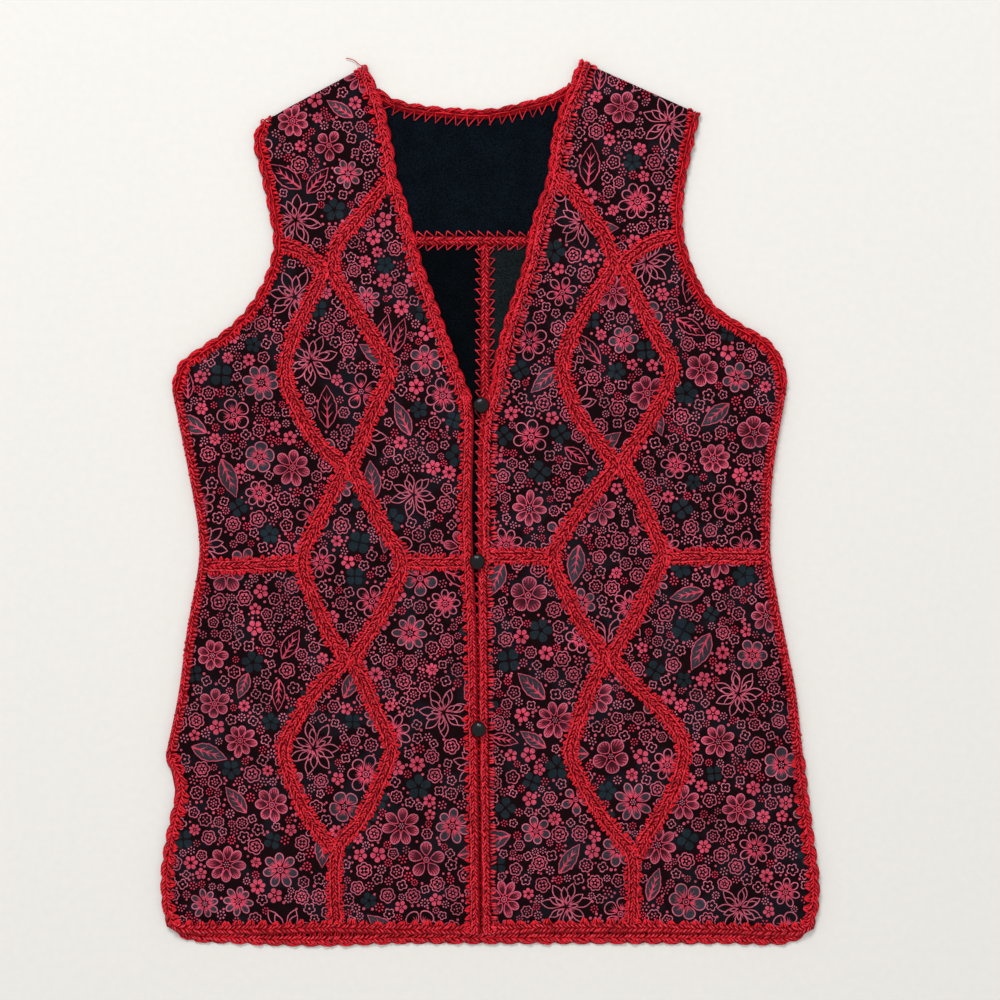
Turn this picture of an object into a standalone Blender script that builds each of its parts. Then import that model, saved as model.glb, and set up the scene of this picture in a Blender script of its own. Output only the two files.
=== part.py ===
"""A leather vest laid flat: printed suede pieces joined and edged with crochet.

The vest lies on its back. X runs across it, Y from hem to neck and Z up, away from the surface it lies on.
Plan points are in millimetres from the middle of the cloth. Lengths in metres appear only where a mesh is made.
The back lies flat on the surface, the fronts lie on the back, and the shoulders run over their folds.
"""

import math

import bmesh
import bpy
import numpy as np
from mathutils import Vector
from mathutils.geometry import delaunay_2d_cdt

NAME = "leather_vest"
MM = 0.001

# Driving dimensions, in millimetres
LEATHER = 1.2  # thickness of the suede
CROCHET = 2.0  # thickness of the crochet
GAP = 0.3  # between neighbouring pieces
TIP_GAP = 0.5  # between two braids that touch at a diamond's tip
EDGE_GAP = 0.5  # between a leather piece and the finer steps of its edging
BRAID = 3.3  # half the width of a crochet braid that joins two pieces
EDGING = 6.2  # width of the crochet along an edge, without its scallops
SCALLOP = 1.5  # height of a scallop
SCALLOP_PITCH = 14.5
BETWEEN_LAYERS = 0.5  # from the back's crochet to the fronts'
STEP = 9.0  # spacing of points along a braid
RELIEF_STEP = 24.0  # spacing of points inside a panel
FOLD_FACETS = 5  # faces round a shoulder fold
CORNER = 5.0  # length of the rounding where a braid turns beside a diamond's tip
SIDE_ROLL = EDGING + EDGE_GAP - GAP  # width of the side seam, a crochet roll over both layers
BACK_LAP = 14.0  # how far down the back the shoulder seam lies
EDGING_END = GAP / 2  # where two edgings meet end to end
COARSE_STEP = 8.0  # least spacing of the leather's points along an edging
SIDE_STEP = 11.0  # spacing of points along a side seam
FOLD_REACH = 16.0  # how far a fold's facets run past its ends
NECK_SCALLOPS_TO = 82.0  # the front edges are plain below this
BACK_SCALLOPS_FROM = 322.0  # the back's slits are plain
BUTTON_RADIUS = 6.5
BUTTON_HEIGHT = 5.0
BUTTON_RIM = 1.2
BUTTON_FOOT = 0.75  # share of the radius that its flat underside takes
BUTTON_SIDES = 16

# Heights above the surface that the vest lies on, worked out from these
BRAID_TOP = 2 * CROCHET + BETWEEN_LAYERS  # upper face of the fronts' crochet
FOLD_RADIUS = BRAID_TOP / 2
BRAID_COLUMNS = (-BRAID, BRAID)
LEATHER_INSET = (CROCHET - LEATHER) / 2  # leather lies in the middle of the crochet's thickness

# Colours, linear
SUEDE = (0.030, 0.014, 0.020, 1.0)
SUEDE_INSIDE = (0.004, 0.009, 0.012, 1.0)
YARN = (0.62, 0.012, 0.035, 1.0)
HORN = (0.012, 0.012, 0.013, 1.0)

# Outlines and seams of the two fronts. Each row is a smooth line through its points.
# Columns: line, then its points (x, y) from the first end to the last
RIGHT_FRONT = {
    "edge": [(-97, 349), (-91, 334), (-85, 320), (-80, 299), (-76, 279), (-74, 262), (-67, 243), (-55, 197),
             (-46, 171), (-36, 143), (-26, 115), (-16, 90), (-12, 76), (-12, 51), (-13, 0), (-12, -45),
             (-9, -110), (-8, -205), (-6.5, -344)],
    "armhole": [(-180, 309), (-186, 291), (-181, 269), (-174, 236), (-170, 209), (-176, 183), (-190, 158),
                (-208, 139), (-231, 123), (-246, 111), (-252, 91)],
    "side": [(-252, 91), (-239, 27), (-231, -20), (-231, -50), (-240, -101), (-247, -153), (-257, -201)],
    "slit": [(-257, -201), (-248, -225), (-252, -249), (-257, -273), (-260, -301), (-257, -329), (-246, -342)],
    "hem": [(-246, -342), (-190, -343), (-134, -342), (-70, -343), (-6.5, -344)],
    "arm yoke": [(-169, 209), (-150, 203), (-128, 194)],
    "neck yoke": [(-70, 262), (-78, 259), (-94, 240), (-110, 221), (-121, 207), (-128, 194)],
    "top diamond, side": [(-138, 171), (-150, 147), (-160, 120), (-161, 99), (-152, 76), (-139, 53), (-126, 40)],
    "top diamond, front": [(-115, 171), (-98, 143), (-84, 122), (-78, 106), (-86, 86), (-95, 66), (-102, 46)],
    "middle diamond, side": [(-125, 7), (-136, -14), (-145, -33), (-148, -51), (-140, -74), (-130, -97),
                             (-120, -114)],
    "middle diamond, front": [(-101, 14), (-90, -6), (-80, -25), (-68, -46), (-78, -74), (-88, -93),
                              (-101, -113)],
    "low diamond, side": [(-132, -143), (-146, -162), (-160, -186), (-163, -202), (-152, -234), (-139, -257)],
    "low diamond, front": [(-100, -141), (-91, -161), (-81, -183), (-77, -199), (-88, -227), (-102, -254)],
    "tips": [(-128, 187), (-112, 31), (-111, -126), (-121, -280)],
    "hem seam": [(-121, -280), (-121, -344)],
    "waist, side": [(-231, -50), (-190, -49), (-148, -47)],
    "waist, front": [(-68, -47), (-40, -47), (-12, -47)],
    "fold": [(-180, 307), (-100, 350)],
    "back armhole": [(-252, 91), (-212, 134), (-184, 160), (-168, 190), (-163, 225), (-160, 262), (-163, 290)],
    "shoulder tip": (-180, 308),
}
LEFT_FRONT = {
    "edge": [(74, 353), (68, 336), (60, 318), (54, 297), (51, 275), (48, 257), (38, 229), (32, 199), (24, 172),
             (16, 149), (8, 119), (3, 91), (-4, 74), (-7, 40), (-7, 0), (-7, -50), (-6.5, -110), (-5.5, -205),
             (-3.5, -344)],
    "armhole": [(169, 313), (162, 283), (156, 251), (155, 221), (160, 198), (169, 176), (182, 157), (204, 142),
                (224, 130), (235, 114), (239, 93)],
    "side": [(239, 93), (228, 27), (226, -13), (227, -49), (239, -113), (246, -149), (252, -201)],
    "slit": [(252, -201), (255, -229), (259, -261), (264, -301), (262, -329), (250, -344)],
    "hem": [(250, -344), (186, -343), (116, -342), (50, -342), (-3.5, -344)],
    "arm yoke": [(155, 216), (130, 209), (104, 198)],
    "neck yoke": [(48, 268), (54, 264), (68, 251), (82, 231), (95, 213), (104, 198)],
    "top diamond, side": [(114, 178), (124, 155), (136, 132), (148, 110), (140, 86), (128, 64), (115, 45)],
    "top diamond, front": [(93, 178), (82, 161), (68, 136), (60, 110), (66, 86), (76, 66), (92, 45)],
    "middle diamond, side": [(117, 16), (126, -5), (135, -25), (140, -43), (129, -67), (119, -89), (107, -109)],
    "middle diamond, front": [(92, 18), (77, 0), (62, -23), (52, -42), (61, -68), (74, -93), (87, -111)],
    "low diamond, side": [(110, -137), (128, -155), (145, -172), (157, -193), (152, -221), (140, -246),
                          (128, -264)],
    "low diamond, front": [(86, -139), (77, -161), (70, -182), (66, -201), (77, -226), (90, -248), (104, -266)],
    "tips": [(104, 191), (105, 31), (97, -124), (116, -286)],
    "hem seam": [(116, -286), (116, -344)],
    "waist, side": [(227, -43), (185, -42), (140, -43)],
    "waist, front": [(52, -42), (20, -42), (-7, -42)],
    "fold": [(82, 352), (169, 313)],
    "back armhole": [(239, 93), (205, 136), (172, 166), (155, 195), (148, 230), (149, 262), (156, 290)],
    "shoulder tip": (169, 313),
}
# The back, which lies under the fronts
BACK_NECK = [(-97, 349), (-89, 333), (-76, 324), (-50, 318), (-2, 315), (34, 322), (56, 329), (67, 337),
             (74, 353)]
BACK_HEM = [(-257, -201), (-250, -230), (-255, -270), (-257, -310), (-246, -345), (-198, -351), (-134, -353),
            (-70, -351), (-2, -351), (58, -351), (122, -351), (186, -351), (246, -349), (263, -318), (258, -270),
            (252, -230), (252, -201)]
BACK_YOKE_Y = 211
BACK_CENTRE_X = -2

# Soft folds and rises of the fronts
# Columns: x, y, direction in degrees, length, width, height
FOLDS = [
    (-205, 60, 62, 110, 34, 1.5),
    (195, 70, 118, 120, 36, 1.6),
    (-120, 100, 80, 90, 60, 1.2),
    (104, 112, 95, 90, 60, 1.2),
    (-110, -45, 90, 90, 50, 1.0),
    (98, -50, 90, 90, 50, 1.1),
    (-150, -322, 22, 60, 16, 2.2),
    (-235, -300, 80, 100, 30, 2.0),
    (215, -250, 100, 110, 40, 1.8),
    (60, -290, 15, 90, 40, 1.2),
    (-60, -230, 100, 120, 40, 1.1),
    (-215, -120, 78, 120, 36, 1.3),
    (190, -140, 96, 120, 40, 1.2),
    (-45, 60, 70, 130, 36, 1.0),
]
FOLD_FADE = (225.0, 290.0)  # the fronts lie level between here and the shoulders

# Columns: name, x, y, lean in degrees, direction of the lean in degrees
BUTTONS = [
    ("button_top", -5, 79, 0, 0),
    ("button_middle", -8, -46, 9, 200),
    ("button_low", -7, -180, 16, 170),
]


def unit(v):
    return v / np.maximum(np.linalg.norm(v, axis=-1, keepdims=True), 1e-9)


def left_of(d):
    """The direction a quarter turn to the left of d."""
    return np.stack([-d[..., 1], d[..., 0]], axis=-1)


def even(line, step):
    """The same line with its points at even steps."""
    run = np.r_[0, np.cumsum(np.linalg.norm(np.diff(line, axis=0), axis=1))]
    count = max(1, round(run[-1] / step))
    places = np.linspace(0, run[-1], count + 1)
    return np.stack([np.interp(places, run, line[:, k]) for k in range(2)], axis=1)


def smooth(points, step=STEP):
    """A Catmull-Rom curve through the points, at even steps along it."""
    p = np.asarray(points, float)
    q = np.vstack([2 * p[0] - p[1], p, 2 * p[-1] - p[-2]])
    t = np.linspace(0, 1, 24, endpoint=False)[:, None]
    spans = [
        0.5 * (2 * b + (c - a) * t + (2 * a - 5 * b + 4 * c - d) * t**2 + (3 * b - a - 3 * c + d) * t**3)
        for a, b, c, d in zip(q, q[1:], q[2:], q[3:])
    ]
    return even(np.vstack(spans + [p[-1:]]), step)


def sideways(line):
    """At each point, the mitred vector to the left of the way along, one unit wide."""
    d = unit(np.diff(line, axis=0))
    before, after = np.vstack([d[:1], d]), np.vstack([d, d[-1:]])
    middle = left_of(unit(before + after))
    return middle / np.maximum(np.sum(middle * left_of(after), axis=1), 0.4)[:, None]


def beside(line, distance):
    """A line that runs beside this one, to its left."""
    return line + sideways(line) * np.reshape(distance, (-1, 1))


def at(line, place):
    i = min(int(place), len(line) - 2)
    return line[i] + (line[i + 1] - line[i]) * (place - i)


def crossings(a, b):
    """Where line a crosses line b: places on a and on b, as point numbers with a fraction."""
    p, r = a[:-1, None], np.diff(a, axis=0)[:, None]
    q, s = b[None, :-1], np.diff(b, axis=0)[None]
    cross = r[..., 0] * s[..., 1] - r[..., 1] * s[..., 0]
    cross = np.where(np.abs(cross) < 1e-12, 1e-12, cross)
    w = q - p
    t = (w[..., 0] * s[..., 1] - w[..., 1] * s[..., 0]) / cross
    u = (w[..., 0] * r[..., 1] - w[..., 1] * r[..., 0]) / cross
    i, j = np.nonzero((t >= 0) & (t <= 1) & (u >= 0) & (u <= 1))
    return i + t[i, j], j + u[i, j]


def meet(a, b):
    """Where the end of line a crosses the start of line b."""
    on_a, on_b = crossings(a, b)
    if not len(on_a):
        raise ValueError(f"lines that should meet don't: {a[0]} to {a[-1]} and {b[0]} to {b[-1]}")
    best = np.argmin((len(a) - on_a) + on_b)
    return on_a[best], on_b[best]


def between(line, first, last, clear=0.5):
    """The stretch of a line from one place to a later one, without points closer to its ends than this."""
    ends = np.array([at(line, first), at(line, last)])
    inner = line[math.floor(first) + 1 : math.ceil(last)]
    far = np.linalg.norm(inner[:, None] - ends[None], axis=-1).min(axis=1, initial=np.inf) > clear
    return np.vstack([ends[:1], inner[far], ends[1:]])


def stretched(line, length=14.0):
    """The line made longer at both ends, straight on, so that it crosses its neighbours."""
    d = unit(np.diff(line, axis=0))
    return np.vstack([line[0] - d[0] * length, line, line[-1] + d[-1] * length])


def joined(a, b):
    """One line from two that go on from each other, cut where they cross or else joined midway."""
    on_a, on_b = crossings(a, b)
    if len(on_a):
        return np.vstack([a[: math.ceil(on_a[0])], at(a, on_a[0])[None], b[math.floor(on_b[0]) + 1 :]])
    return np.vstack([a[:-1], (a[-1:] + b[:1]) / 2, b[1:]])


def outline(*lines):
    """The closed outline bounded by lines that follow each other round it, each cut where it meets the next."""
    lines = [stretched(line) for line in lines]
    cuts = [meet(a, b) for a, b in zip(lines, lines[1:] + lines[:1])]
    return np.vstack([between(line, cuts[i - 1][1], cuts[i][0])[:-1] for i, line in enumerate(lines)])


def inside(points, loop):
    """Which points lie inside the loop, by counting the crossings to their right."""
    x, y = points[:, 0, None], points[:, 1, None]
    a, b = loop, np.roll(loop, -1, axis=0)
    span = (a[:, 1] > y) != (b[:, 1] > y)
    slope = (b[:, 0] - a[:, 0]) / np.where(a[:, 1] == b[:, 1], 1e-9, b[:, 1] - a[:, 1])
    return (span & (x < a[:, 0] + (y - a[:, 1]) * slope)).sum(axis=1) % 2 == 1


def distance_to(points, line):
    """How far each point is from a line."""
    a, b = line[None, :-1], line[None, 1:]
    p = points[:, None]
    t = np.clip(((p - a) * (b - a)).sum(-1) / np.maximum(((b - a) ** 2).sum(-1), 1e-9), 0, 1)
    return np.linalg.norm(p - a - (b - a) * t[..., None], axis=-1).min(axis=1)


def filled(loop, spacing=None, rows=()):
    """Points and faces that fill the loop, with edges along rows, and a lattice if a spacing is given."""
    points, edges = [loop], []
    if spacing:
        low, high = loop.min(axis=0), loop.max(axis=0)
        xs = np.arange(low[0], high[0], spacing)
        ys = np.arange(low[1], high[1], spacing * math.sqrt(0.75))
        grid = np.array([(x + k % 2 * spacing / 2, y) for k, y in enumerate(ys) for x in xs])
        grid = grid[inside(grid, loop)]
        for line in (np.vstack([loop, loop[:1]]), *rows):
            grid = grid[distance_to(grid, line) > spacing * 0.45]
        points.append(grid)
    for row in rows:
        start = sum(map(len, points))
        edges += [(start + i, start + i + 1) for i in range(len(row) - 1)]
        points.append(row)
    border = list(range(len(loop)))
    flat, _, faces, *_ = delaunay_2d_cdt(
        [Vector(p) for p in np.vstack(points)], edges, [border], 0, 1e-4, False
    )
    flat = np.array([tuple(v) for v in flat])
    faces = np.array(faces)
    return flat, faces[inside(flat[faces].mean(axis=1), loop)].tolist()


def material(name, colour, roughness):
    m = bpy.data.materials.new(name)
    m.use_nodes = True
    shader = m.node_tree.nodes["Principled BSDF"]
    shader.inputs["Base Color"].default_value = colour
    shader.inputs["Roughness"].default_value = roughness
    shader.inputs["Metallic"].default_value = 0.0
    m.diffuse_color = colour
    return m


def add_piece(name, bm, colour, roughness):
    mesh = bpy.data.meshes.new(name)
    bm.to_mesh(mesh)
    bm.free()
    mesh.materials.append(material(name, colour, roughness))
    ob = bpy.data.objects.new(name, mesh)
    pieces.objects.link(ob)
    ob.parent = frame
    return ob


def wall(name, flat, faces, place, thickness, colour, roughness=0.85):
    """A closed wall: the flat pattern set in place for its outer face, and again this much deeper."""
    outer, inner = place(flat, 0.0) * MM, place(flat, thickness) * MM
    bm = bmesh.new()
    number = bm.verts.layers.int.new("number")
    verts = [bm.verts.new(p) for p in outer]
    for k, v in enumerate(verts):
        v[number] = k
    for f in faces:
        bm.faces.new([verts[k] for k in f])
    bmesh.ops.delete(bm, geom=[v for v in bm.verts if not v.link_faces], context="VERTS")
    deeper = bmesh.ops.extrude_face_region(bm, geom=bm.faces[:] + bm.edges[:], use_keep_orig=True)["geom"]
    for v in deeper:
        if isinstance(v, bmesh.types.BMVert):
            v.co = inner[v[number]]
    bmesh.ops.recalc_face_normals(bm, faces=bm.faces[:])
    return add_piece(name, bm, colour, roughness)


def height(points):
    """How far the fronts rise over their lowest lie: soft humps, each a product of two bell curves."""
    x, y = points[:, 0], points[:, 1]
    rise = np.zeros(len(points))
    for fx, fy, turn, length, width, high in FOLDS:
        c, s = math.cos(math.radians(turn)), math.sin(math.radians(turn))
        along = (x - fx) * c + (y - fy) * s
        across = (y - fy) * c - (x - fx) * s
        rise += high * np.exp(-2 * (along / length) ** 2 - 2 * (across / width) ** 2)
    fade = np.clip((y - FOLD_FADE[0]) / (FOLD_FADE[1] - FOLD_FADE[0]), 0, 1)
    return rise * (1 - fade * fade * (3 - 2 * fade))


class Shoulder:
    """A fold that carries cloth from a front over the shoulder to the back.

    In the flat pattern a point lies at some depth inside the fold's outer line. Down to one radius it is on the
    front. Past that the cloth runs round half a circle, and then back under the front, level with the surface.
    """

    def __init__(self, ends):
        self.start, self.end = np.array(ends, float)
        self.along = unit(self.end - self.start)
        self.inward = left_of(self.along) * np.sign(-left_of(self.along)[1])
        self.turn = FOLD_RADIUS * (1 - math.pi)  # depth where the cloth is level again, on the back

    def depth(self, points):
        return (points - self.start) @ self.inward

    def under(self, points):
        """Pattern points for plan points on the back, or the other way."""
        points = np.asarray(points, float)
        d = self.depth(points)[..., None]
        return points + self.inward * (FOLD_RADIUS + self.turn - 2 * d)

    def tip(self, point):
        """The pattern point at the middle of the fold, for a plan point on its outer line."""
        return np.array(point, float) + self.inward * (FOLD_RADIUS + self.turn) / 2

    def rows(self, first, last):
        """Pattern lines along the fold, from beside one point to beside another, that keep it round."""
        ends = np.array([first, last], float)
        depths = np.linspace(FOLD_RADIUS, self.turn, FOLD_FACETS + 1)
        return [ends + self.inward * (d - self.depth(ends))[:, None] for d in depths]

    def place(self, inset):
        """A function that sets pattern points in place, on a face this far inside the crochet's outer face."""

        def placed(points, deeper):
            d = self.depth(points)
            radius = FOLD_RADIUS - inset - deeper
            angle = np.clip(math.pi / 2 - (FOLD_RADIUS - d) / FOLD_RADIUS, -math.pi / 2, math.pi / 2)
            plan = np.where(d >= FOLD_RADIUS, d, FOLD_RADIUS - radius * np.cos(angle))
            plan = np.where(d < self.turn, FOLD_RADIUS + self.turn - d, plan)
            xy = points + self.inward * (plan - d)[:, None]
            z = FOLD_RADIUS + radius * np.sin(angle)
            return np.column_stack([xy, np.where(d >= FOLD_RADIUS, z + height(xy), z)])

        return placed


def on_front(inset):
    """A function that sets plan points on a face this far below the fronts' crochet."""

    def placed(points, deeper):
        return np.column_stack([points, BRAID_TOP - inset - deeper + height(points)])

    return placed


def on_back(top):
    """A function that sets plan points level, at this height."""

    def placed(points, deeper):
        return np.column_stack([points, np.full(len(points), top - deeper)])

    return placed


def front_roll(points, deeper):
    """Sets plan points on the fronts' crochet, or on the surface for the lower face."""
    top = BRAID_TOP + height(points)
    return np.column_stack([points, np.where(deeper > 0, 0.0, top)])


def band(line, widths, start=None, end=None):
    """Points and faces of a band along a line: one column for each width to its left.

    Its first and last rows lie square to it, or along the direction given.
    """
    side = sideways(line)
    for k, way, cut in ((0, line[1] - line[0], start), (-1, line[-1] - line[-2], end)):
        if cut is not None:
            square = cut @ left_of(unit(way))
            side[k] = cut / square
    points = np.stack([line + side * np.reshape(w, (-1, 1)) for w in widths], axis=1)
    rows, count = points.shape[:2]
    corner = np.arange(rows * count).reshape(rows, count)
    quads = np.stack([corner[:-1, :-1], corner[1:, :-1], corner[1:, 1:], corner[:-1, 1:]], axis=-1).reshape(-1, 4)
    flat = points.reshape(-1, 2)
    return flat, quads.tolist()


def loop_of(line, outer, inner, start=None, end=None):
    """The outline of a band."""
    flat, _ = band(line, [outer, inner], start, end)
    return np.vstack([flat[::2], flat[1::2][::-1]])


def cut_by(line, first=None, last=None, half=BRAID):
    """The line cut where other lines cross it, and the directions of those cuts."""
    line, cuts = stretched(line), []
    begin, finish = 0.0, len(line) - 1.0
    for other, is_first in ((first, True), (last, False)):
        if other is None:
            cuts.append(None)
            continue
        on_line, on_other = crossings(line, other)
        best = np.argmin(on_line) if is_first else np.argmax(on_line)
        i = min(int(on_other[best]), len(other) - 2)
        cuts.append(unit(other[i + 1] - other[i]))
        if is_first:
            begin = on_line[best]
        else:
            finish = on_line[best]
    if first is None:
        begin = 1.0
    if last is None:
        finish = len(line) - 2.0
    return between(line, begin, finish, clear=2 * half), cuts


def turned(stretches, tips, outward):
    """One line through stretches that meet at tips, rounded there, so that it just passes each tip.

    Returns the line and the number of the point nearest each tip.
    """
    corners = [tip + outward * (BRAID + TIP_GAP / 2) for tip in tips]
    for _ in range(3):
        line, marks = [np.empty((0, 2))], []
        for k, middle in enumerate(stretches):
            before = corners[k - 1][None] if k else middle[:0]
            after = corners[k][None] if k < len(corners) else middle[:0]
            stretch = smooth(np.vstack([before, middle, after]))
            if k:
                arriving = line[-1][-1]
                a, b = corners[k - 1], stretch
                leave = a + unit(b[1] - a) * CORNER
                arrive = a + unit(arriving - a) * CORNER
                bend = (arrive + 2 * a + leave) / 4
                marks.append(sum(map(len, line)) + 1)
                line.append(np.array([arrive, bend, leave]))
                corners[k - 1] = a + (tips[k - 1] + outward * (BRAID + TIP_GAP / 2) - bend) * np.array([1, 0])
                stretch = stretch[1:]
            line.append(stretch[:-1] if k < len(corners) else stretch)
        path = np.vstack(line)
    return path, marks


def shortened(line, by=EDGING_END, clear=8.0):
    """The line made shorter at both ends, without points close to them."""
    d = unit(np.diff(line, axis=0))
    ends = np.array([line[0] + d[0] * by, line[-1] - d[-1] * by])
    inner = line[1:-1]
    far = np.linalg.norm(inner[:, None] - ends[None], axis=-1).min(axis=1) > clear
    return np.vstack([ends[:1], inner[far], ends[1:]])


def scalloped(line, where):
    """Three steps to each scallop, and one where the edge is plain. Returns the line and how far it stands out."""
    valley = np.arange(len(line)) % 3 == 0
    keep = where | valley
    keep[-1] = True
    return line[keep], np.where(where & ~valley, SCALLOP, 0.0)[keep]


def coarse(line):
    """The line without the points that follow another too closely, for the leather beside an edging."""
    kept = [line[0]]
    for point in line[1:-1]:
        if np.linalg.norm(point - kept[-1]) > COARSE_STEP:
            kept.append(point)
    return np.vstack([kept, line[-1:]])


class Front:
    """One front: its seams and edges as lines, worked out once, for the pieces that lie between them."""

    def __init__(self, side, table, mirror, back_neck_end, back_neck_way):
        self.side, self.mirror = side, mirror
        self.outward = np.array([-float(mirror), 0.0])
        self.shoulder = Shoulder(table["fold"])
        fine = SCALLOP_PITCH / 3

        start = self.shoulder.under(back_neck_end)
        line = smooth([start, *table["edge"]], fine)
        self.neck_cut = self.reflected(left_of(back_neck_way))
        line, out = scalloped(line, (self.shoulder.depth(line) > FOLD_RADIUS) & (line[:, 1] > NECK_SCALLOPS_TO))
        line[0] += unit(line[1] - line[0]) * EDGING_END
        self.edge, self.edge_out = line, out
        self.edge_inner = beside(line, -mirror * (EDGING + GAP))
        self.edge_leather = beside(coarse(line), -mirror * (EDGING + EDGE_GAP))

        back = self.shoulder.under(table["back armhole"])
        tip = self.shoulder.tip(table["shoulder tip"])
        line = smooth([*back, tip, *table["armhole"][1:]], fine)
        line, out = scalloped(line, self.shoulder.depth(line) > 0)
        ends = shortened(line)
        kept = np.array([any(np.allclose(p, q) for q in ends[1:-1]) for p in line])
        self.arm, self.arm_out = ends, np.r_[0.0, out[kept], 0.0]
        self.arm_inner = beside(ends, mirror * (EDGING + GAP))
        self.arm_leather = beside(coarse(ends), mirror * (EDGING + EDGE_GAP))

        self.side_line = shortened(smooth(table["side"], SIDE_STEP), clear=2.0)
        self.side_leather = beside(self.side_line, mirror * (SIDE_ROLL + GAP))

        line = smooth(table["slit"] + table["hem"][1:], fine)
        line, _ = cut_by(line, last=self.edge_inner, half=0.5)
        line = shortened(line, clear=3.0)
        self.hem, self.hem_out = scalloped(line, np.full(len(line), True))
        self.hem_inner = beside(self.hem, mirror * (EDGING + GAP))
        self.hem_leather = beside(coarse(self.hem), mirror * (EDGING + EDGE_GAP))

        tips = np.array(table["tips"], float)
        stretches = [
            np.array(table["neck yoke"][:-1], float),
            np.array(table["top diamond, front"], float),
            np.array(table["middle diamond, front"], float),
            np.array([*table["low diamond, front"], *table["hem seam"]], float),
        ]
        line, bends = turned(stretches, tips[:3], -self.outward)
        marks = line[bends]
        self.front_braid, self.front_cuts = cut_by(line, self.edge_inner, self.hem_inner)
        self.front_marks = self.numbers(self.front_braid, marks)
        self.front_to_diamonds = beside(self.front_braid, -mirror * (BRAID + GAP))
        self.front_to_edge = beside(self.front_braid, mirror * (BRAID + GAP))

        stretches = [
            np.array(table["arm yoke"][:-1], float),
            np.array(table["top diamond, side"], float),
            np.array(table["middle diamond, side"], float),
            np.array([*table["low diamond, side"], table["tips"][3]], float),
        ]
        line, bends = turned(stretches, tips[:3], self.outward)
        marks = line[bends]
        self.side_braid, self.side_cuts = cut_by(line, self.arm_inner, self.front_to_diamonds)
        self.side_marks = self.numbers(self.side_braid, marks)
        self.side_to_diamonds = beside(self.side_braid, mirror * (BRAID + GAP))
        self.side_to_side = beside(self.side_braid, -mirror * (BRAID + GAP))

        self.waist_side, self.waist_side_cuts = cut_by(
            smooth(table["waist, side"]), self.side_leather, self.side_to_side
        )
        self.waist_front, self.waist_front_cuts = cut_by(
            smooth(table["waist, front"]), self.front_to_edge, self.edge_inner
        )

        ends = np.array(table["fold"], float) + self.shoulder.inward * BACK_LAP
        if mirror < 0:
            ends = ends[::-1]
        self.seam, self.seam_cuts = cut_by(
            smooth(ends), self.shoulder.under(self.arm_inner), self.shoulder.under(self.edge_inner)
        )

    @staticmethod
    def numbers(line, points):
        return [int(np.argmin(np.linalg.norm(line - p, axis=1))) for p in points]

    def reflected(self, way):
        n = self.shoulder.inward
        return way - 2 * (way @ n) * n

    def waist(self, line, sign):
        """A line above or below a waist braid."""
        return beside(line, self.mirror * sign * (BRAID + GAP))

    def seam_beside(self, sign):
        """A line beside the shoulder seam: with sign 1 towards the fold, with -1 down the back."""
        return beside(self.seam, self.mirror * sign * (BRAID + GAP))

    def leather(self, name, *lines):
        flat, faces = filled(outline(*lines), RELIEF_STEP)
        wall(f"{self.side}_{name}", flat, faces, on_front(LEATHER_INSET), LEATHER, SUEDE)

    def build_leather(self):
        s, f = self.side_marks, self.front_marks
        rows = self.shoulder.rows(*self.fold_ends())
        loop = outline(
            self.arm_leather,
            self.side_to_diamonds[: s[0] + 1],
            self.front_to_diamonds[: f[0] + 1][::-1],
            self.edge_leather[::-1],
            self.shoulder.under(self.seam_beside(1))[::-1],
        )
        flat, faces = filled(loop, RELIEF_STEP, rows)
        wall(f"{self.side}_shoulder", flat, faces, self.shoulder.place(LEATHER_INSET), LEATHER, SUEDE)

        for name, k in (("top_diamond", 0), ("middle_diamond", 1)):
            self.leather(
                name,
                self.side_to_diamonds[s[k] : s[k + 1] + 1],
                self.front_to_diamonds[f[k] : f[k + 1] + 1][::-1],
            )
        self.leather("low_diamond", self.side_to_diamonds[s[2] :], self.front_to_diamonds[f[2] :][::-1])
        self.leather(
            "upper_side",
            self.arm_leather,
            self.side_leather,
            self.waist(self.waist_side, 1),
            self.side_to_side[::-1],
        )
        self.leather(
            "lower_side",
            self.waist(self.waist_side, -1)[::-1],
            joined(self.side_leather, self.hem_leather),
            self.front_to_diamonds[f[2] :][::-1],
            self.side_to_side[::-1],
        )
        self.leather(
            "upper_front",
            self.front_to_edge,
            self.waist(self.waist_front, 1),
            self.edge_leather[::-1],
        )
        self.leather(
            "lower_front",
            self.front_to_edge,
            self.hem_leather,
            self.edge_leather[::-1],
            self.waist(self.waist_front, -1)[::-1],
        )

    def fold_ends(self):
        """Two points on the fold's line, past the crochet at both sides."""
        reach = FOLD_REACH * self.shoulder.along
        return self.shoulder.start - reach, self.shoulder.end + reach

    def edging(self, name, line, outer, inner, start=None, end=None):
        loop = loop_of(line, outer, inner, start, end)
        if clockwise(loop):
            loop = loop[::-1]
        flat, faces = filled(loop, rows=self.shoulder.rows(*self.fold_ends()))
        wall(f"{self.side}_{name}", flat, faces, self.shoulder.place(0.0), CROCHET, YARN)

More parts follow.
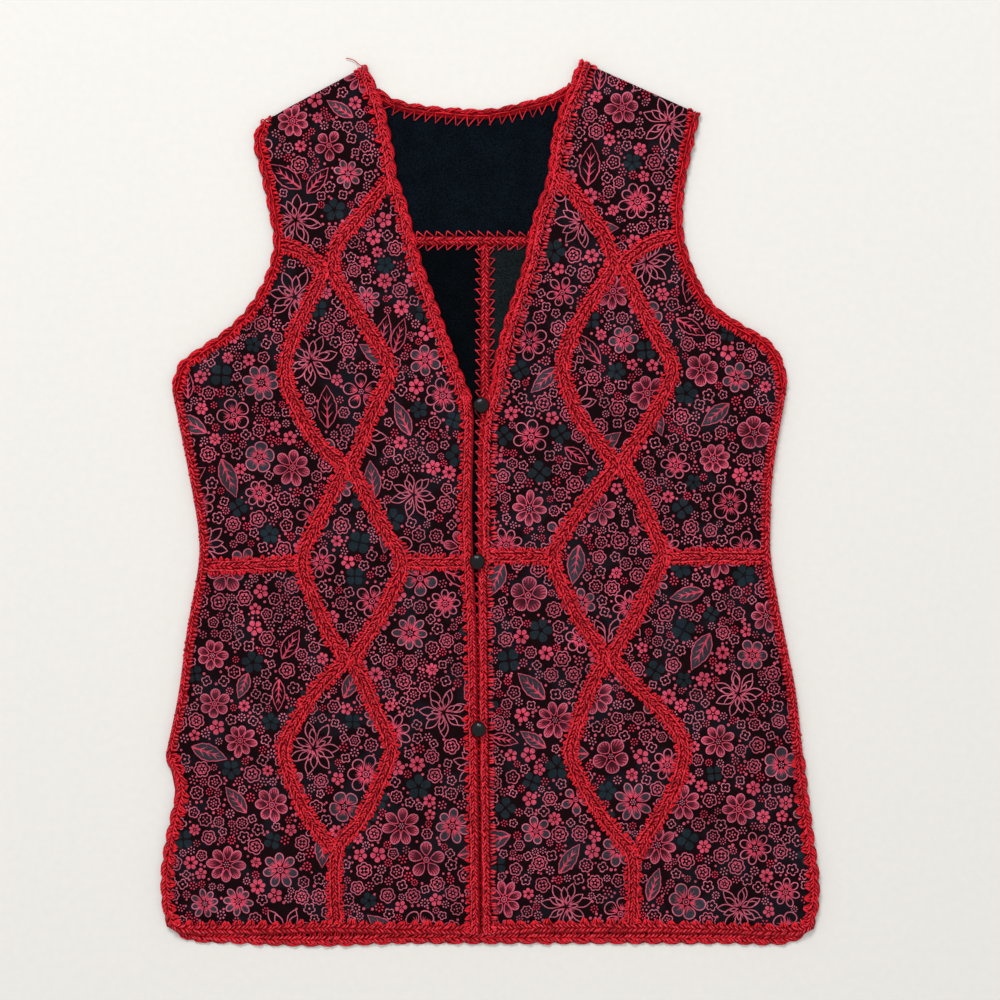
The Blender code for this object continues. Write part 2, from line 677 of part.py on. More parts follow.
    def build_crochet(self):
        m = self.mirror
        self.edging("front_edging", self.edge, m * self.edge_out, -m * EDGING, self.neck_cut)
        across = np.array([1.0, 0.0])
        self.edging("armhole_edging", self.arm, -m * self.arm_out, m * EDGING, self.reflected(across), across)
        edge_way = unit(self.edge[-1] - self.edge[-2])
        braids = [
            ("hem_edging", self.hem, [-m * self.hem_out, m * EDGING], across, edge_way, on_front(0.0), CROCHET),
            ("side_braid", self.side_braid, BRAID_COLUMNS, *self.side_cuts, on_front(0.0), CROCHET),
            ("front_braid", self.front_braid, BRAID_COLUMNS, *self.front_cuts, on_front(0.0), CROCHET),
            ("waist_side_braid", self.waist_side, BRAID_COLUMNS, *self.waist_side_cuts, on_front(0.0), CROCHET),
            ("waist_front_braid", self.waist_front, BRAID_COLUMNS, *self.waist_front_cuts, on_front(0.0), CROCHET),
            ("side_seam", self.side_line, [0.0, m * SIDE_ROLL], across, across, front_roll, CROCHET),
            ("shoulder_seam", self.seam, BRAID_COLUMNS, *self.seam_cuts, on_back(CROCHET), CROCHET),
        ]
        for name, line, widths, start, end, place, thickness in braids:
            flat, faces = band(line, widths, start, end)
            wall(f"{self.side}_{name}", flat, faces, place, thickness, YARN)


def clockwise(loop):
    a, b = loop, np.roll(loop, -1, axis=0)
    return (a[:, 0] * b[:, 1] - b[:, 0] * a[:, 1]).sum() < 0


def build_back(right, left):
    """The back, which lies level under the fronts."""
    edge_right, edge_left = (f.shoulder.under(f.edge_leather) for f in (right, left))
    arm_right, arm_left = (f.shoulder.under(f.arm_leather) for f in (right, left))
    arm_cut_right, arm_cut_left = (f.shoulder.under(f.arm_inner) for f in (right, left))

    neck = shortened(smooth(BACK_NECK[1:-1], SCALLOP_PITCH / 3), clear=3.0)
    neck, neck_out = scalloped(neck, np.full(len(neck), True))
    way_in, way_out = neck_ways()
    hem = shortened(smooth(BACK_HEM, SCALLOP_PITCH / 3), clear=3.0)
    hem, hem_out = scalloped(hem, np.abs(hem[:, 1]) > BACK_SCALLOPS_FROM)
    yoke_line = smooth([(-180, BACK_YOKE_Y), (0, BACK_YOKE_Y), (180, BACK_YOKE_Y)], 30.0)
    yoke_line, yoke_cuts = cut_by(yoke_line, arm_cut_right, arm_cut_left)
    yoke_up, yoke_down = beside(yoke_line, BRAID + GAP), beside(yoke_line, -BRAID - GAP)
    centre = smooth([(BACK_CENTRE_X, BACK_YOKE_Y), (BACK_CENTRE_X, 0), (BACK_CENTRE_X, -351)], 30.0)
    centre, centre_cuts = cut_by(centre, yoke_down, beside(hem, EDGING + GAP))
    across = np.array([1.0, 0.0])

    bands = [
        ("back_neck_edging", neck, [neck_out, -EDGING], left_of(way_in), left_of(way_out)),
        ("back_hem_edging", hem, [-hem_out, EDGING], across, across),
        ("back_yoke_braid", yoke_line, BRAID_COLUMNS, *yoke_cuts),
        ("back_centre_braid", centre, BRAID_COLUMNS, *centre_cuts),
    ]
    for name, line, widths, start, end in bands:
        flat, faces = band(line, widths, start, end)
        wall(name, flat, faces, on_back(CROCHET), CROCHET, YARN)

    hem_line = beside(coarse(hem), EDGING + EDGE_GAP)
    loops = {
        "back_yoke": outline(
            right.seam_beside(-1),
            edge_right[::-1],
            beside(coarse(neck), -EDGING - EDGE_GAP),
            edge_left,
            left.seam_beside(-1)[::-1],
            arm_left[::-1],
            yoke_up[::-1],
            arm_right,
        ),
        "back_right": outline(
            yoke_down,
            beside(centre, -BRAID - GAP),
            joined(right.side_leather, hem_line)[::-1],
            arm_right,
        ),
        "back_left": outline(
            yoke_down,
            arm_left[::-1],
            joined(left.side_leather, hem_line[::-1]),
            beside(centre, BRAID + GAP)[::-1],
        ),
    }
    for name, loop in loops.items():
        if clockwise(loop):
            loop = loop[::-1]
        flat, faces = filled(loop)
        wall(name, flat, faces, on_back(LEATHER), LEATHER, SUEDE_INSIDE)


def neck_ways():
    """The way along the back neck at both ends of its edging."""
    neck = np.array(BACK_NECK, float)
    return unit(neck[2] - neck[0]), unit(neck[-1] - neck[-3])


def build_button(name, x, y, lean, way):
    """A domed button: a turned profile, standing just above the edgings that it holds."""
    reach = BUTTON_RADIUS * np.array([(0, 0), (1, 0), (-1, 0), (0, 1), (0, -1)])
    seat = BRAID_TOP + height(np.array([(x, y)]) + reach).max() + GAP
    seat += BUTTON_RADIUS * BUTTON_FOOT * math.sin(math.radians(lean))
    angles = np.linspace(0, math.pi / 2, 7)
    dome = [
        (BUTTON_RADIUS * math.cos(a), BUTTON_RIM + (BUTTON_HEIGHT - BUTTON_RIM) * math.sin(a)) for a in angles
    ]
    profile = [(0.0, 0.0), (BUTTON_RADIUS * BUTTON_FOOT, 0.0), *dome]
    profile[-1] = (0.0, BUTTON_HEIGHT)
    mesh = bpy.data.meshes.new(name)
    mesh.from_pydata([(r * MM, 0, z * MM) for r, z in profile], [(k, k + 1) for k in range(len(profile) - 1)], [])
    bm = bmesh.new()
    bm.from_mesh(mesh)
    bmesh.ops.spin(
        bm, geom=bm.verts[:] + bm.edges[:], cent=(0, 0, 0), axis=(0, 0, 1), angle=2 * math.pi,
        steps=BUTTON_SIDES, use_merge=True, use_duplicate=False,
    )
    bmesh.ops.remove_doubles(bm, verts=bm.verts[:], dist=0.01 * MM)
    bmesh.ops.recalc_face_normals(bm, faces=bm.faces[:])
    bpy.data.meshes.remove(mesh)
    ob = add_piece(name, bm, HORN, 0.35)
    axis = Vector((-math.sin(math.radians(way)), math.cos(math.radians(way)), 0))
    ob.rotation_mode = "AXIS_ANGLE"
    ob.rotation_axis_angle = (math.radians(lean), *axis)
    ob.location = Vector((x, y, seat)) * MM


for ob in list(bpy.data.objects):
    bpy.data.objects.remove(ob, do_unlink=True)
pieces = bpy.data.collections.new(NAME)
bpy.context.scene.collection.children.link(pieces)
frame = bpy.data.objects.new(NAME + "_frame", None)
pieces.objects.link(frame)

right_way, left_way = neck_ways()
right_front = Front("right", RIGHT_FRONT, 1, BACK_NECK[1], right_way)
left_front = Front("left", LEFT_FRONT, -1, BACK_NECK[-2], left_way)
for front in (right_front, left_front):
    front.build_leather()
    front.build_crochet()
build_back(right_front, left_front)
for row in BUTTONS:
    build_button(*row)

# The origin is under the middle of the whole
bpy.context.view_layer.update()
meshes = [ob for ob in pieces.objects if ob.type == "MESH"]
corners = np.array([ob.matrix_world @ v.co for ob in meshes for v in ob.data.vertices])
middle = (corners.min(axis=0) + corners.max(axis=0)) / 2
frame.location = (-middle[0], -middle[1], 0.0)
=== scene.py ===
"""How a patchwork vest of printed suede, joined and edged with crochet, looks when it lies flat on a pale floor.

Plan points and lines are in millimetres, in the pattern's own frame, as in the part's source: X across, Y from hem
to neck, Z up. They turn to metres in the model's frame only where a mesh is made.
"""

import math

import bpy
import numpy as np
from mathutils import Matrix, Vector
from mathutils.geometry import delaunay_2d_cdt


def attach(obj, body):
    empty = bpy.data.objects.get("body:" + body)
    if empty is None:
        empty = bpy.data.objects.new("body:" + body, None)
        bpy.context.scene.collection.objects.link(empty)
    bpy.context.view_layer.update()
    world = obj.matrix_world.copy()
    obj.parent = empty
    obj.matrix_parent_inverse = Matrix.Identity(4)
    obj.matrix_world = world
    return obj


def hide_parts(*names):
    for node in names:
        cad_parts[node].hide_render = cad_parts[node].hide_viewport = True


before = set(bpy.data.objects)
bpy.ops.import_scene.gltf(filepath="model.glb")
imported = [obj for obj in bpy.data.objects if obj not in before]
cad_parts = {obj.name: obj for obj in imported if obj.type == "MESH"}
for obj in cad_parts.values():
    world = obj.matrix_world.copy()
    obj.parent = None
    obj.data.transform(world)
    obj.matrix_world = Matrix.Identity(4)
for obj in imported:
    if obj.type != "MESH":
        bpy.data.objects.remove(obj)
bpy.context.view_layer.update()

MM = 0.001
MIDDLE = np.array([2.1262, 0.2695, 0.0])  # the pattern's point that is the model's origin
ACROSS = np.array([1.0, 0.0])

# The pattern's dimensions, in millimetres, as in the part's source
LEATHER = 1.2  # thickness of the suede
CROCHET = 2.0  # thickness of the crochet
GAP = 0.3  # between neighbouring pieces
TIP_GAP = 0.5  # between two braids that touch at a diamond's tip
EDGE_GAP = 0.5  # between a leather piece and the finer steps of its edging
BRAID = 3.3  # half the width of a crochet braid that joins two pieces
EDGING = 6.2  # width of the crochet along an edge, without its scallops
SCALLOP = 1.5  # height of a scallop
SCALLOP_PITCH = 14.5
BETWEEN_LAYERS = 0.5  # from the back's crochet to the fronts'
STEP = 9.0  # spacing of points along a braid
CORNER = 5.0  # length of the rounding where a braid turns beside a diamond's tip
SIDE_ROLL = EDGING + EDGE_GAP - GAP  # width of the side seam, a crochet roll over both layers
BACK_LAP = 14.0  # how far down the back the shoulder seam lies
EDGING_END = GAP / 2  # where two edgings meet end to end
COARSE_STEP = 8.0  # least spacing of the leather's points along an edging
SIDE_STEP = 11.0  # spacing of points along a side seam
FOLD_REACH = 16.0  # how far a fold's facets run past its ends
NECK_SCALLOPS_TO = 82.0  # the front edges are plain below this
BACK_SCALLOPS_FROM = 322.0  # the back's slits are plain
FOLD_FACETS = 12

# Heights above the floor, worked out from these
BRAID_TOP = 2 * CROCHET + BETWEEN_LAYERS  # upper face of the fronts' crochet
FOLD_RADIUS = BRAID_TOP / 2
BRAID_COLUMNS = (-BRAID, BRAID)
LEATHER_INSET = (CROCHET - LEATHER) / 2  # leather lies in the middle of the crochet's thickness

# Outlines and seams of the two fronts. Each row is a smooth line through its points.
# Columns: line, then its points (x, y) from the first end to the last
RIGHT_FRONT = {
    "edge": [(-97, 349), (-91, 334), (-85, 320), (-80, 299), (-76, 279), (-74, 262), (-67, 243), (-55, 197),
             (-46, 171), (-36, 143), (-26, 115), (-16, 90), (-12, 76), (-12, 51), (-13, 0), (-12, -45),
             (-9, -110), (-8, -205), (-6.5, -344)],
    "armhole": [(-180, 309), (-186, 291), (-181, 269), (-174, 236), (-170, 209), (-176, 183), (-190, 158),
                (-208, 139), (-231, 123), (-246, 111), (-252, 91)],
    "side": [(-252, 91), (-239, 27), (-231, -20), (-231, -50), (-240, -101), (-247, -153), (-257, -201)],
    "slit": [(-257, -201), (-248, -225), (-252, -249), (-257, -273), (-260, -301), (-257, -329), (-246, -342)],
    "hem": [(-246, -342), (-190, -343), (-134, -342), (-70, -343), (-6.5, -344)],
    "arm yoke": [(-169, 209), (-150, 203), (-128, 194)],
    "neck yoke": [(-70, 262), (-78, 259), (-94, 240), (-110, 221), (-121, 207), (-128, 194)],
    "top diamond, side": [(-138, 171), (-150, 147), (-160, 120), (-161, 99), (-152, 76), (-139, 53), (-126, 40)],
    "top diamond, front": [(-115, 171), (-98, 143), (-84, 122), (-78, 106), (-86, 86), (-95, 66), (-102, 46)],
    "middle diamond, side": [(-125, 7), (-136, -14), (-145, -33), (-148, -51), (-140, -74), (-130, -97),
                             (-120, -114)],
    "middle diamond, front": [(-101, 14), (-90, -6), (-80, -25), (-68, -46), (-78, -74), (-88, -93), (-101, -113)],
    "low diamond, side": [(-132, -143), (-146, -162), (-160, -186), (-163, -202), (-152, -234), (-139, -257)],
    "low diamond, front": [(-100, -141), (-91, -161), (-81, -183), (-77, -199), (-88, -227), (-102, -254)],
    "tips": [(-128, 187), (-112, 31), (-111, -126), (-121, -280)],
    "hem seam": [(-121, -280), (-121, -344)],
    "waist, side": [(-231, -50), (-190, -49), (-148, -47)],
    "waist, front": [(-68, -47), (-40, -47), (-12, -47)],
    "fold": [(-180, 307), (-100, 350)],
    "back armhole": [(-252, 91), (-212, 134), (-184, 160), (-168, 190), (-163, 225), (-160, 262), (-163, 290)],
    "shoulder tip": (-180, 308),
}
LEFT_FRONT = {
    "edge": [(74, 353), (68, 336), (60, 318), (54, 297), (51, 275), (48, 257), (38, 229), (32, 199), (24, 172),
             (16, 149), (8, 119), (3, 91), (-4, 74), (-7, 40), (-7, 0), (-7, -50), (-6.5, -110), (-5.5, -205),
             (-3.5, -344)],
    "armhole": [(169, 313), (162, 283), (156, 251), (155, 221), (160, 198), (169, 176), (182, 157), (204, 142),
                (224, 130), (235, 114), (239, 93)],
    "side": [(239, 93), (228, 27), (226, -13), (227, -49), (239, -113), (246, -149), (252, -201)],
    "slit": [(252, -201), (255, -229), (259, -261), (264, -301), (262, -329), (250, -344)],
    "hem": [(250, -344), (186, -343), (116, -342), (50, -342), (-3.5, -344)],
    "arm yoke": [(155, 216), (130, 209), (104, 198)],
    "neck yoke": [(48, 268), (54, 264), (68, 251), (82, 231), (95, 213), (104, 198)],
    "top diamond, side": [(114, 178), (124, 155), (136, 132), (148, 110), (140, 86), (128, 64), (115, 45)],
    "top diamond, front": [(93, 178), (82, 161), (68, 136), (60, 110), (66, 86), (76, 66), (92, 45)],
    "middle diamond, side": [(117, 16), (126, -5), (135, -25), (140, -43), (129, -67), (119, -89), (107, -109)],
    "middle diamond, front": [(92, 18), (77, 0), (62, -23), (52, -42), (61, -68), (74, -93), (87, -111)],
    "low diamond, side": [(110, -137), (128, -155), (145, -172), (157, -193), (152, -221), (140, -246),
                          (128, -264)],
    "low diamond, front": [(86, -139), (77, -161), (70, -182), (66, -201), (77, -226), (90, -248), (104, -266)],
    "tips": [(104, 191), (105, 31), (97, -124), (116, -286)],
    "hem seam": [(116, -286), (116, -344)],
    "waist, side": [(227, -43), (185, -42), (140, -43)],
    "waist, front": [(52, -42), (20, -42), (-7, -42)],
    "fold": [(82, 352), (169, 313)],
    "back armhole": [(239, 93), (205, 136), (172, 166), (155, 195), (148, 230), (149, 262), (156, 290)],
    "shoulder tip": (169, 313),
}
# The back, which lies under the fronts
BACK_NECK = [(-97, 349), (-89, 333), (-76, 324), (-50, 318), (-2, 315), (34, 322), (56, 329), (67, 337), (74, 353)]
BACK_HEM = [(-257, -201), (-250, -230), (-255, -270), (-257, -310), (-246, -345), (-198, -351), (-134, -353),
            (-70, -351), (-2, -351), (58, -351), (122, -351), (186, -351), (246, -349), (263, -318), (258, -270),
            (252, -230), (252, -201)]
BACK_YOKE_Y = 211
BACK_CENTRE_X = -2

# Soft folds and rises of the fronts
# Columns: x, y, direction in degrees, length, width, height
FOLDS = [
    (-205, 60, 62, 110, 34, 1.5),
    (195, 70, 118, 120, 36, 1.6),
    (-120, 100, 80, 90, 60, 1.2),
    (104, 112, 95, 90, 60, 1.2),
    (-110, -45, 90, 90, 50, 1.0),
    (98, -50, 90, 90, 50, 1.1),
    (-150, -322, 22, 60, 16, 2.2),
    (-235, -300, 80, 100, 30, 2.0),
    (215, -250, 100, 110, 40, 1.8),
    (60, -290, 15, 90, 40, 1.2),
    (-60, -230, 100, 120, 40, 1.1),
    (-215, -120, 78, 120, 36, 1.3),
    (190, -140, 96, 120, 40, 1.2),
    (-45, 60, 70, 130, 36, 1.0),
]
FOLD_FADE = (225.0, 290.0)  # the fronts lie level between here and the shoulders


def height(points):
    """How far the fronts rise over their lowest lie: soft humps, each a product of two bell curves."""
    x, y = points[:, 0], points[:, 1]
    rise = np.zeros(len(points))
    for fx, fy, turn, length, width, high in FOLDS:
        c, s = math.cos(math.radians(turn)), math.sin(math.radians(turn))
        along = (x - fx) * c + (y - fy) * s
        across = (y - fy) * c - (x - fx) * s
        rise += high * np.exp(-2 * (along / length) ** 2 - 2 * (across / width) ** 2)
    fade = np.clip((y - FOLD_FADE[0]) / (FOLD_FADE[1] - FOLD_FADE[0]), 0, 1)
    return rise * (1 - fade * fade * (3 - 2 * fade))


def unit(v):
    """The vector made one unit long."""
    return v / np.maximum(np.linalg.norm(v, axis=-1, keepdims=True), 1e-9)


def left_of(d):
    """The direction a quarter turn to the left of d."""
    return np.stack([-d[..., 1], d[..., 0]], axis=-1)


def even(line, step):
    """The same line with its points at even steps."""
    run = np.r_[0, np.cumsum(np.linalg.norm(np.diff(line, axis=0), axis=1))]
    count = max(1, round(run[-1] / step))
    places = np.linspace(0, run[-1], count + 1)
    return np.stack([np.interp(places, run, line[:, k]) for k in range(2)], axis=1)


def smooth(points, step=STEP):
    """A Catmull-Rom curve through the points, at even steps along it."""
    p = np.asarray(points, float)
    q = np.vstack([2 * p[0] - p[1], p, 2 * p[-1] - p[-2]])
    t = np.linspace(0, 1, 24, endpoint=False)[:, None]
    spans = [
        0.5 * (2 * b + (c - a) * t + (2 * a - 5 * b + 4 * c - d) * t**2 + (3 * b - a - 3 * c + d) * t**3)
        for a, b, c, d in zip(q, q[1:], q[2:], q[3:])
    ]
    return even(np.vstack(spans + [p[-1:]]), step)


def sideways(line):
    """At each point, the mitred vector to the left of the way along, one unit wide."""
    d = unit(np.diff(line, axis=0))
    before, after = np.vstack([d[:1], d]), np.vstack([d, d[-1:]])
    middle = left_of(unit(before + after))
    return middle / np.maximum(np.sum(middle * left_of(after), axis=1), 0.4)[:, None]


def beside(line, distance):
    """A line that runs beside this one, to its left."""
    return line + sideways(line) * np.reshape(distance, (-1, 1))


def at(line, place):
    """The point of a line at a place: a point number with a fraction."""
    i = min(int(place), len(line) - 2)
    return line[i] + (line[i + 1] - line[i]) * (place - i)


def crossings(a, b):
    """Where line a crosses line b: places on a and on b, as point numbers with a fraction."""
    p, r = a[:-1, None], np.diff(a, axis=0)[:, None]
    q, s = b[None, :-1], np.diff(b, axis=0)[None]
    cross = r[..., 0] * s[..., 1] - r[..., 1] * s[..., 0]
    cross = np.where(np.abs(cross) < 1e-12, 1e-12, cross)
    w = q - p
    t = (w[..., 0] * s[..., 1] - w[..., 1] * s[..., 0]) / cross
    u = (w[..., 0] * r[..., 1] - w[..., 1] * r[..., 0]) / cross
    i, j = np.nonzero((t >= 0) & (t <= 1) & (u >= 0) & (u <= 1))
    return i + t[i, j], j + u[i, j]


def meet(a, b):
    """Where the end of line a crosses the start of line b."""
    on_a, on_b = crossings(a, b)
    if not len(on_a):
        raise ValueError(f"lines that should meet don't: {a[0]} to {a[-1]} and {b[0]} to {b[-1]}")
    best = np.argmin((len(a) - on_a) + on_b)
    return on_a[best], on_b[best]


def between(line, first, last, clear=0.5):
    """The stretch of a line from one place to a later one, without points closer to its ends than this."""
    ends = np.array([at(line, first), at(line, last)])
    inner = line[math.floor(first) + 1 : math.ceil(last)]
    far = np.linalg.norm(inner[:, None] - ends[None], axis=-1).min(axis=1, initial=np.inf) > clear
    return np.vstack([ends[:1], inner[far], ends[1:]])


def stretched(line, length=14.0):
    """The line made longer at both ends, straight on, so that it crosses its neighbours."""
    d = unit(np.diff(line, axis=0))
    return np.vstack([line[0] - d[0] * length, line, line[-1] + d[-1] * length])


def joined(a, b):
    """One line from two that go on from each other, cut where they cross or else joined midway."""
    on_a, on_b = crossings(a, b)
    if len(on_a):
        return np.vstack([a[: math.ceil(on_a[0])], at(a, on_a[0])[None], b[math.floor(on_b[0]) + 1 :]])
    return np.vstack([a[:-1], (a[-1:] + b[:1]) / 2, b[1:]])


def outline(*lines):
    """The closed outline bounded by lines that follow each other round it, each cut where it meets the next."""
    lines = [stretched(line) for line in lines]
    cuts = [meet(a, b) for a, b in zip(lines, lines[1:] + lines[:1])]
    return np.vstack([between(line, cuts[i - 1][1], cuts[i][0])[:-1] for i, line in enumerate(lines)])


def inside(points, loop):
    """Which points lie inside the loop: those with an odd number of its sides to their right."""
    x, y = points[:, 0, None], points[:, 1, None]
    a, b = loop, np.roll(loop, -1, axis=0)
    span = (a[:, 1] > y) != (b[:, 1] > y)
    slope = (b[:, 0] - a[:, 0]) / np.where(a[:, 1] == b[:, 1], 1e-9, b[:, 1] - a[:, 1])
    return (span & (x < a[:, 0] + (y - a[:, 1]) * slope)).sum(axis=1) % 2 == 1


def distance_to(points, line):
    """How far each point is from a line."""
    a, b = line[None, :-1], line[None, 1:]
    p = points[:, None]
    t = np.clip(((p - a) * (b - a)).sum(-1) / np.maximum(((b - a) ** 2).sum(-1), 1e-9), 0, 1)
    return np.linalg.norm(p - a - (b - a) * t[..., None], axis=-1).min(axis=1)


class Shoulder:
    """A fold that carries cloth from a front over the shoulder to the back.

    In the flat pattern a point lies at some depth inside the fold's outer line. Down to one radius it is on the
    front. Past that the cloth runs round half a circle, and then back under the front, level with the surface.
    """

    def __init__(self, ends):
        self.start, self.end = np.array(ends, float)
        self.along = unit(self.end - self.start)
        self.inward = left_of(self.along) * np.sign(-left_of(self.along)[1])
        self.turn = FOLD_RADIUS * (1 - math.pi)  # depth where the cloth is level again, on the back

    def depth(self, points):
        """How far points lie inside the fold's outer line."""
        return (points - self.start) @ self.inward

    def under(self, points):
        """Pattern points for plan points on the back, or the other way."""
        points = np.asarray(points, float)
        d = self.depth(points)[..., None]
        return points + self.inward * (FOLD_RADIUS + self.turn - 2 * d)

    def tip(self, point):
        """The pattern point at the middle of the fold, for a plan point on its outer line."""
        return np.array(point, float) + self.inward * (FOLD_RADIUS + self.turn) / 2

    def rows(self, first, last):
        """Pattern lines along the fold, from beside one point to beside another, that keep it round."""
        ends = np.array([first, last], float)
        depths = np.linspace(FOLD_RADIUS, self.turn, FOLD_FACETS + 1)
        return [ends + self.inward * (d - self.depth(ends))[:, None] for d in depths]

    def place(self, inset):
        """A function that sets pattern points in place, on a face this far inside the crochet's outer face."""

        def placed(points, deeper):
            d = self.depth(points)
            radius = FOLD_RADIUS - inset - deeper
            angle = np.clip(math.pi / 2 - (FOLD_RADIUS - d) / FOLD_RADIUS, -math.pi / 2, math.pi / 2)
            plan = np.where(d >= FOLD_RADIUS, d, FOLD_RADIUS - radius * np.cos(angle))
            plan = np.where(d < self.turn, FOLD_RADIUS + self.turn - d, plan)
            xy = points + self.inward * (plan - d)[:, None]
            z = FOLD_RADIUS + radius * np.sin(angle)
            return np.column_stack([xy, np.where(d >= FOLD_RADIUS, z + height(xy), z)])

        return placed


def on_front(inset):
    """A function that sets plan points on a face this far below the fronts' crochet."""

    def placed(points, deeper):
        return np.column_stack([points, BRAID_TOP - inset - deeper + height(points)])

    return placed


def on_back(top):
    """A function that sets plan points level, at this height."""

    def placed(points, deeper):
        return np.column_stack([points, np.full(len(points), top - deeper)])

    return placed


def cut_by(line, first=None, last=None, half=BRAID):
    """The line cut where other lines cross it, and the directions of those cuts."""
    line, cuts = stretched(line), []
    begin, finish = 0.0, len(line) - 1.0
    for other, is_first in ((first, True), (last, False)):
        if other is None:
            cuts.append(None)
            continue
        on_line, on_other = crossings(line, other)
        best = np.argmin(on_line) if is_first else np.argmax(on_line)
        i = min(int(on_other[best]), len(other) - 2)
        cuts.append(unit(other[i + 1] - other[i]))
        if is_first:
            begin = on_line[best]
        else:
            finish = on_line[best]
    if first is None:
        begin = 1.0
    if last is None:
        finish = len(line) - 2.0
    return between(line, begin, finish, clear=2 * half), cuts


def turned(stretches, tips, outward):
    """One line through stretches that meet at tips, rounded there, so that it just passes each tip.

    Returns the line and the number of the point nearest each tip.
    """
    corners = [tip + outward * (BRAID + TIP_GAP / 2) for tip in tips]
    for _ in range(3):
        line, marks = [np.empty((0, 2))], []
        for k, middle in enumerate(stretches):
            before = corners[k - 1][None] if k else middle[:0]
            after = corners[k][None] if k < len(corners) else middle[:0]
            stretch = smooth(np.vstack([before, middle, after]))
            if k:
                arriving = line[-1][-1]
                a, b = corners[k - 1], stretch
                leave = a + unit(b[1] - a) * CORNER
                arrive = a + unit(arriving - a) * CORNER
                bend = (arrive + 2 * a + leave) / 4
                marks.append(sum(map(len, line)) + 1)
                line.append(np.array([arrive, bend, leave]))
                corners[k - 1] = a + (tips[k - 1] + outward * (BRAID + TIP_GAP / 2) - bend) * np.array([1, 0])
                stretch = stretch[1:]
            line.append(stretch[:-1] if k < len(corners) else stretch)
        path = np.vstack(line)
    return path, marks


def shortened(line, by=EDGING_END, clear=8.0):
    """The line made shorter at both ends, without points close to them."""
    d = unit(np.diff(line, axis=0))
    ends = np.array([line[0] + d[0] * by, line[-1] - d[-1] * by])
    inner = line[1:-1]
    far = np.linalg.norm(inner[:, None] - ends[None], axis=-1).min(axis=1) > clear
    return np.vstack([ends[:1], inner[far], ends[1:]])


def scalloped(line, where):
    """Three steps to each scallop, and one where the edge is plain. Returns the line and how far it stands out."""
    valley = np.arange(len(line)) % 3 == 0
    keep = where | valley
    keep[-1] = True
    return line[keep], np.where(where & ~valley, SCALLOP, 0.0)[keep]


def coarse(line):
    """The line without the points that follow another too closely, for the leather beside an edging."""
    kept = [line[0]]
    for point in line[1:-1]:
        if np.linalg.norm(point - kept[-1]) > COARSE_STEP:
            kept.append(point)
    return np.vstack([kept, line[-1:]])


def clockwise(loop):
    """Whether the loop runs clockwise, by the sign of its area."""
    a, b = loop, np.roll(loop, -1, axis=0)
    return (a[:, 0] * b[:, 1] - b[:, 0] * a[:, 1]).sum() < 0


def neck_ways():
    """The way along the back neck at both ends of its edging."""
    neck = np.array(BACK_NECK, float)
    return unit(neck[2] - neck[0]), unit(neck[-1] - neck[-3])


# The print: small flowers and leaves in outline, on a dark ground


def srgb(text):
    """A colour's three sRGB values, from 0 to 255, from its hex value."""
    return tuple(int(text[k : k + 2], 16) for k in (0, 2, 4))


# Inks. They stay sRGB until they are stored in a mesh, as a print's own inks are mixed on the cloth
PINK = srgb("c44e66")
PALE = srgb("c4667c")
ROSE = srgb("d63652")
PLUM = srgb("702638")
SLATE = srgb("36323a")
SMOKE = srgb("1b252b")
GROUND = srgb("140307")
LINING = srgb("060c12")  # the plain inside, where nothing more is said
INSIDE = {"back_yoke": srgb("080f16"), "back_right": srgb("04080c"), "back_left": srgb("161c1e")}
STROKE = 0.88  # width of an outline
PETAL_LEAN = 1 / 0.62 / 1.15  # over 1, so that a petal is widest beyond its middle


def ring(radius, count, x=0.0, y=0.0):
    """A closed round outline: points at even angles at one distance from (x, y)."""
    a = np.arange(count) * 2 * math.pi / count
    return np.stack([x + radius * np.cos(a), y + radius * np.sin(a)], axis=1)


def lobed(size, lobes, depth, count):
    """A closed outline with lobes: its radius is size less a share, depth, that falls to nothing at each lobe."""
    a = np.arange(count) * 2 * math.pi / count
    r = size * (1 - depth * (1 - np.abs(np.cos(lobes * a / 2)) ** 0.7))
    return np.stack([r * np.cos(a), r * np.sin(a)], axis=1)


def there_and_back(count):
    """For a closed outline: how far each point is from its near end to its far end, and the side that it is on.

    The run is half of one less the cosine of even angles, so points crowd at both ends.
    """
    run = (1 - np.cos(np.arange(count) * 2 * math.pi / count)) / 2
    return run, np.where(np.arange(count) * 2 < count, 1.0, -1.0)


def petal(near, far, half, count=16):
    """A closed petal along X.

    Its half width is half times the square root of the sine of half a turn times the run to the power of the lean.
    """
    run, sign = there_and_back(count)
    y = sign * half * np.sqrt(np.sin(math.pi * run**PETAL_LEAN).clip(0, 1))
    return np.stack([near + (far - near) * run, y], axis=1)


def wedge(x0, x1, y0, y1, wide):
    """A thin closed spike from one point to another: a triangle."""
    start, end = np.array([x0, y0]), np.array([x1, y1])
    side = left_of(unit(end - start)) * wide / 2
    return np.array([start - side, end, start + side])


def shrunk(shape, by):
    """The outline drawn in by this distance, towards its middle along each axis in proportion."""
    middle = (shape.min(axis=0) + shape.max(axis=0)) / 2
    half = (shape.max(axis=0) - shape.min(axis=0)) / 2
    return middle + (shape - middle) * (half - by) / half


def spun(shape, turn):
    """The shape turned about the origin, by an angle in radians."""
    c, s = math.cos(turn), math.sin(turn)
    return shape @ np.array([[c, s], [-s, c]])


# Each motif returns the circles (x, y, radius) that keep others away, and its shapes, lowest first. A shape is an
# outline with its ink near the motif's middle and far from it


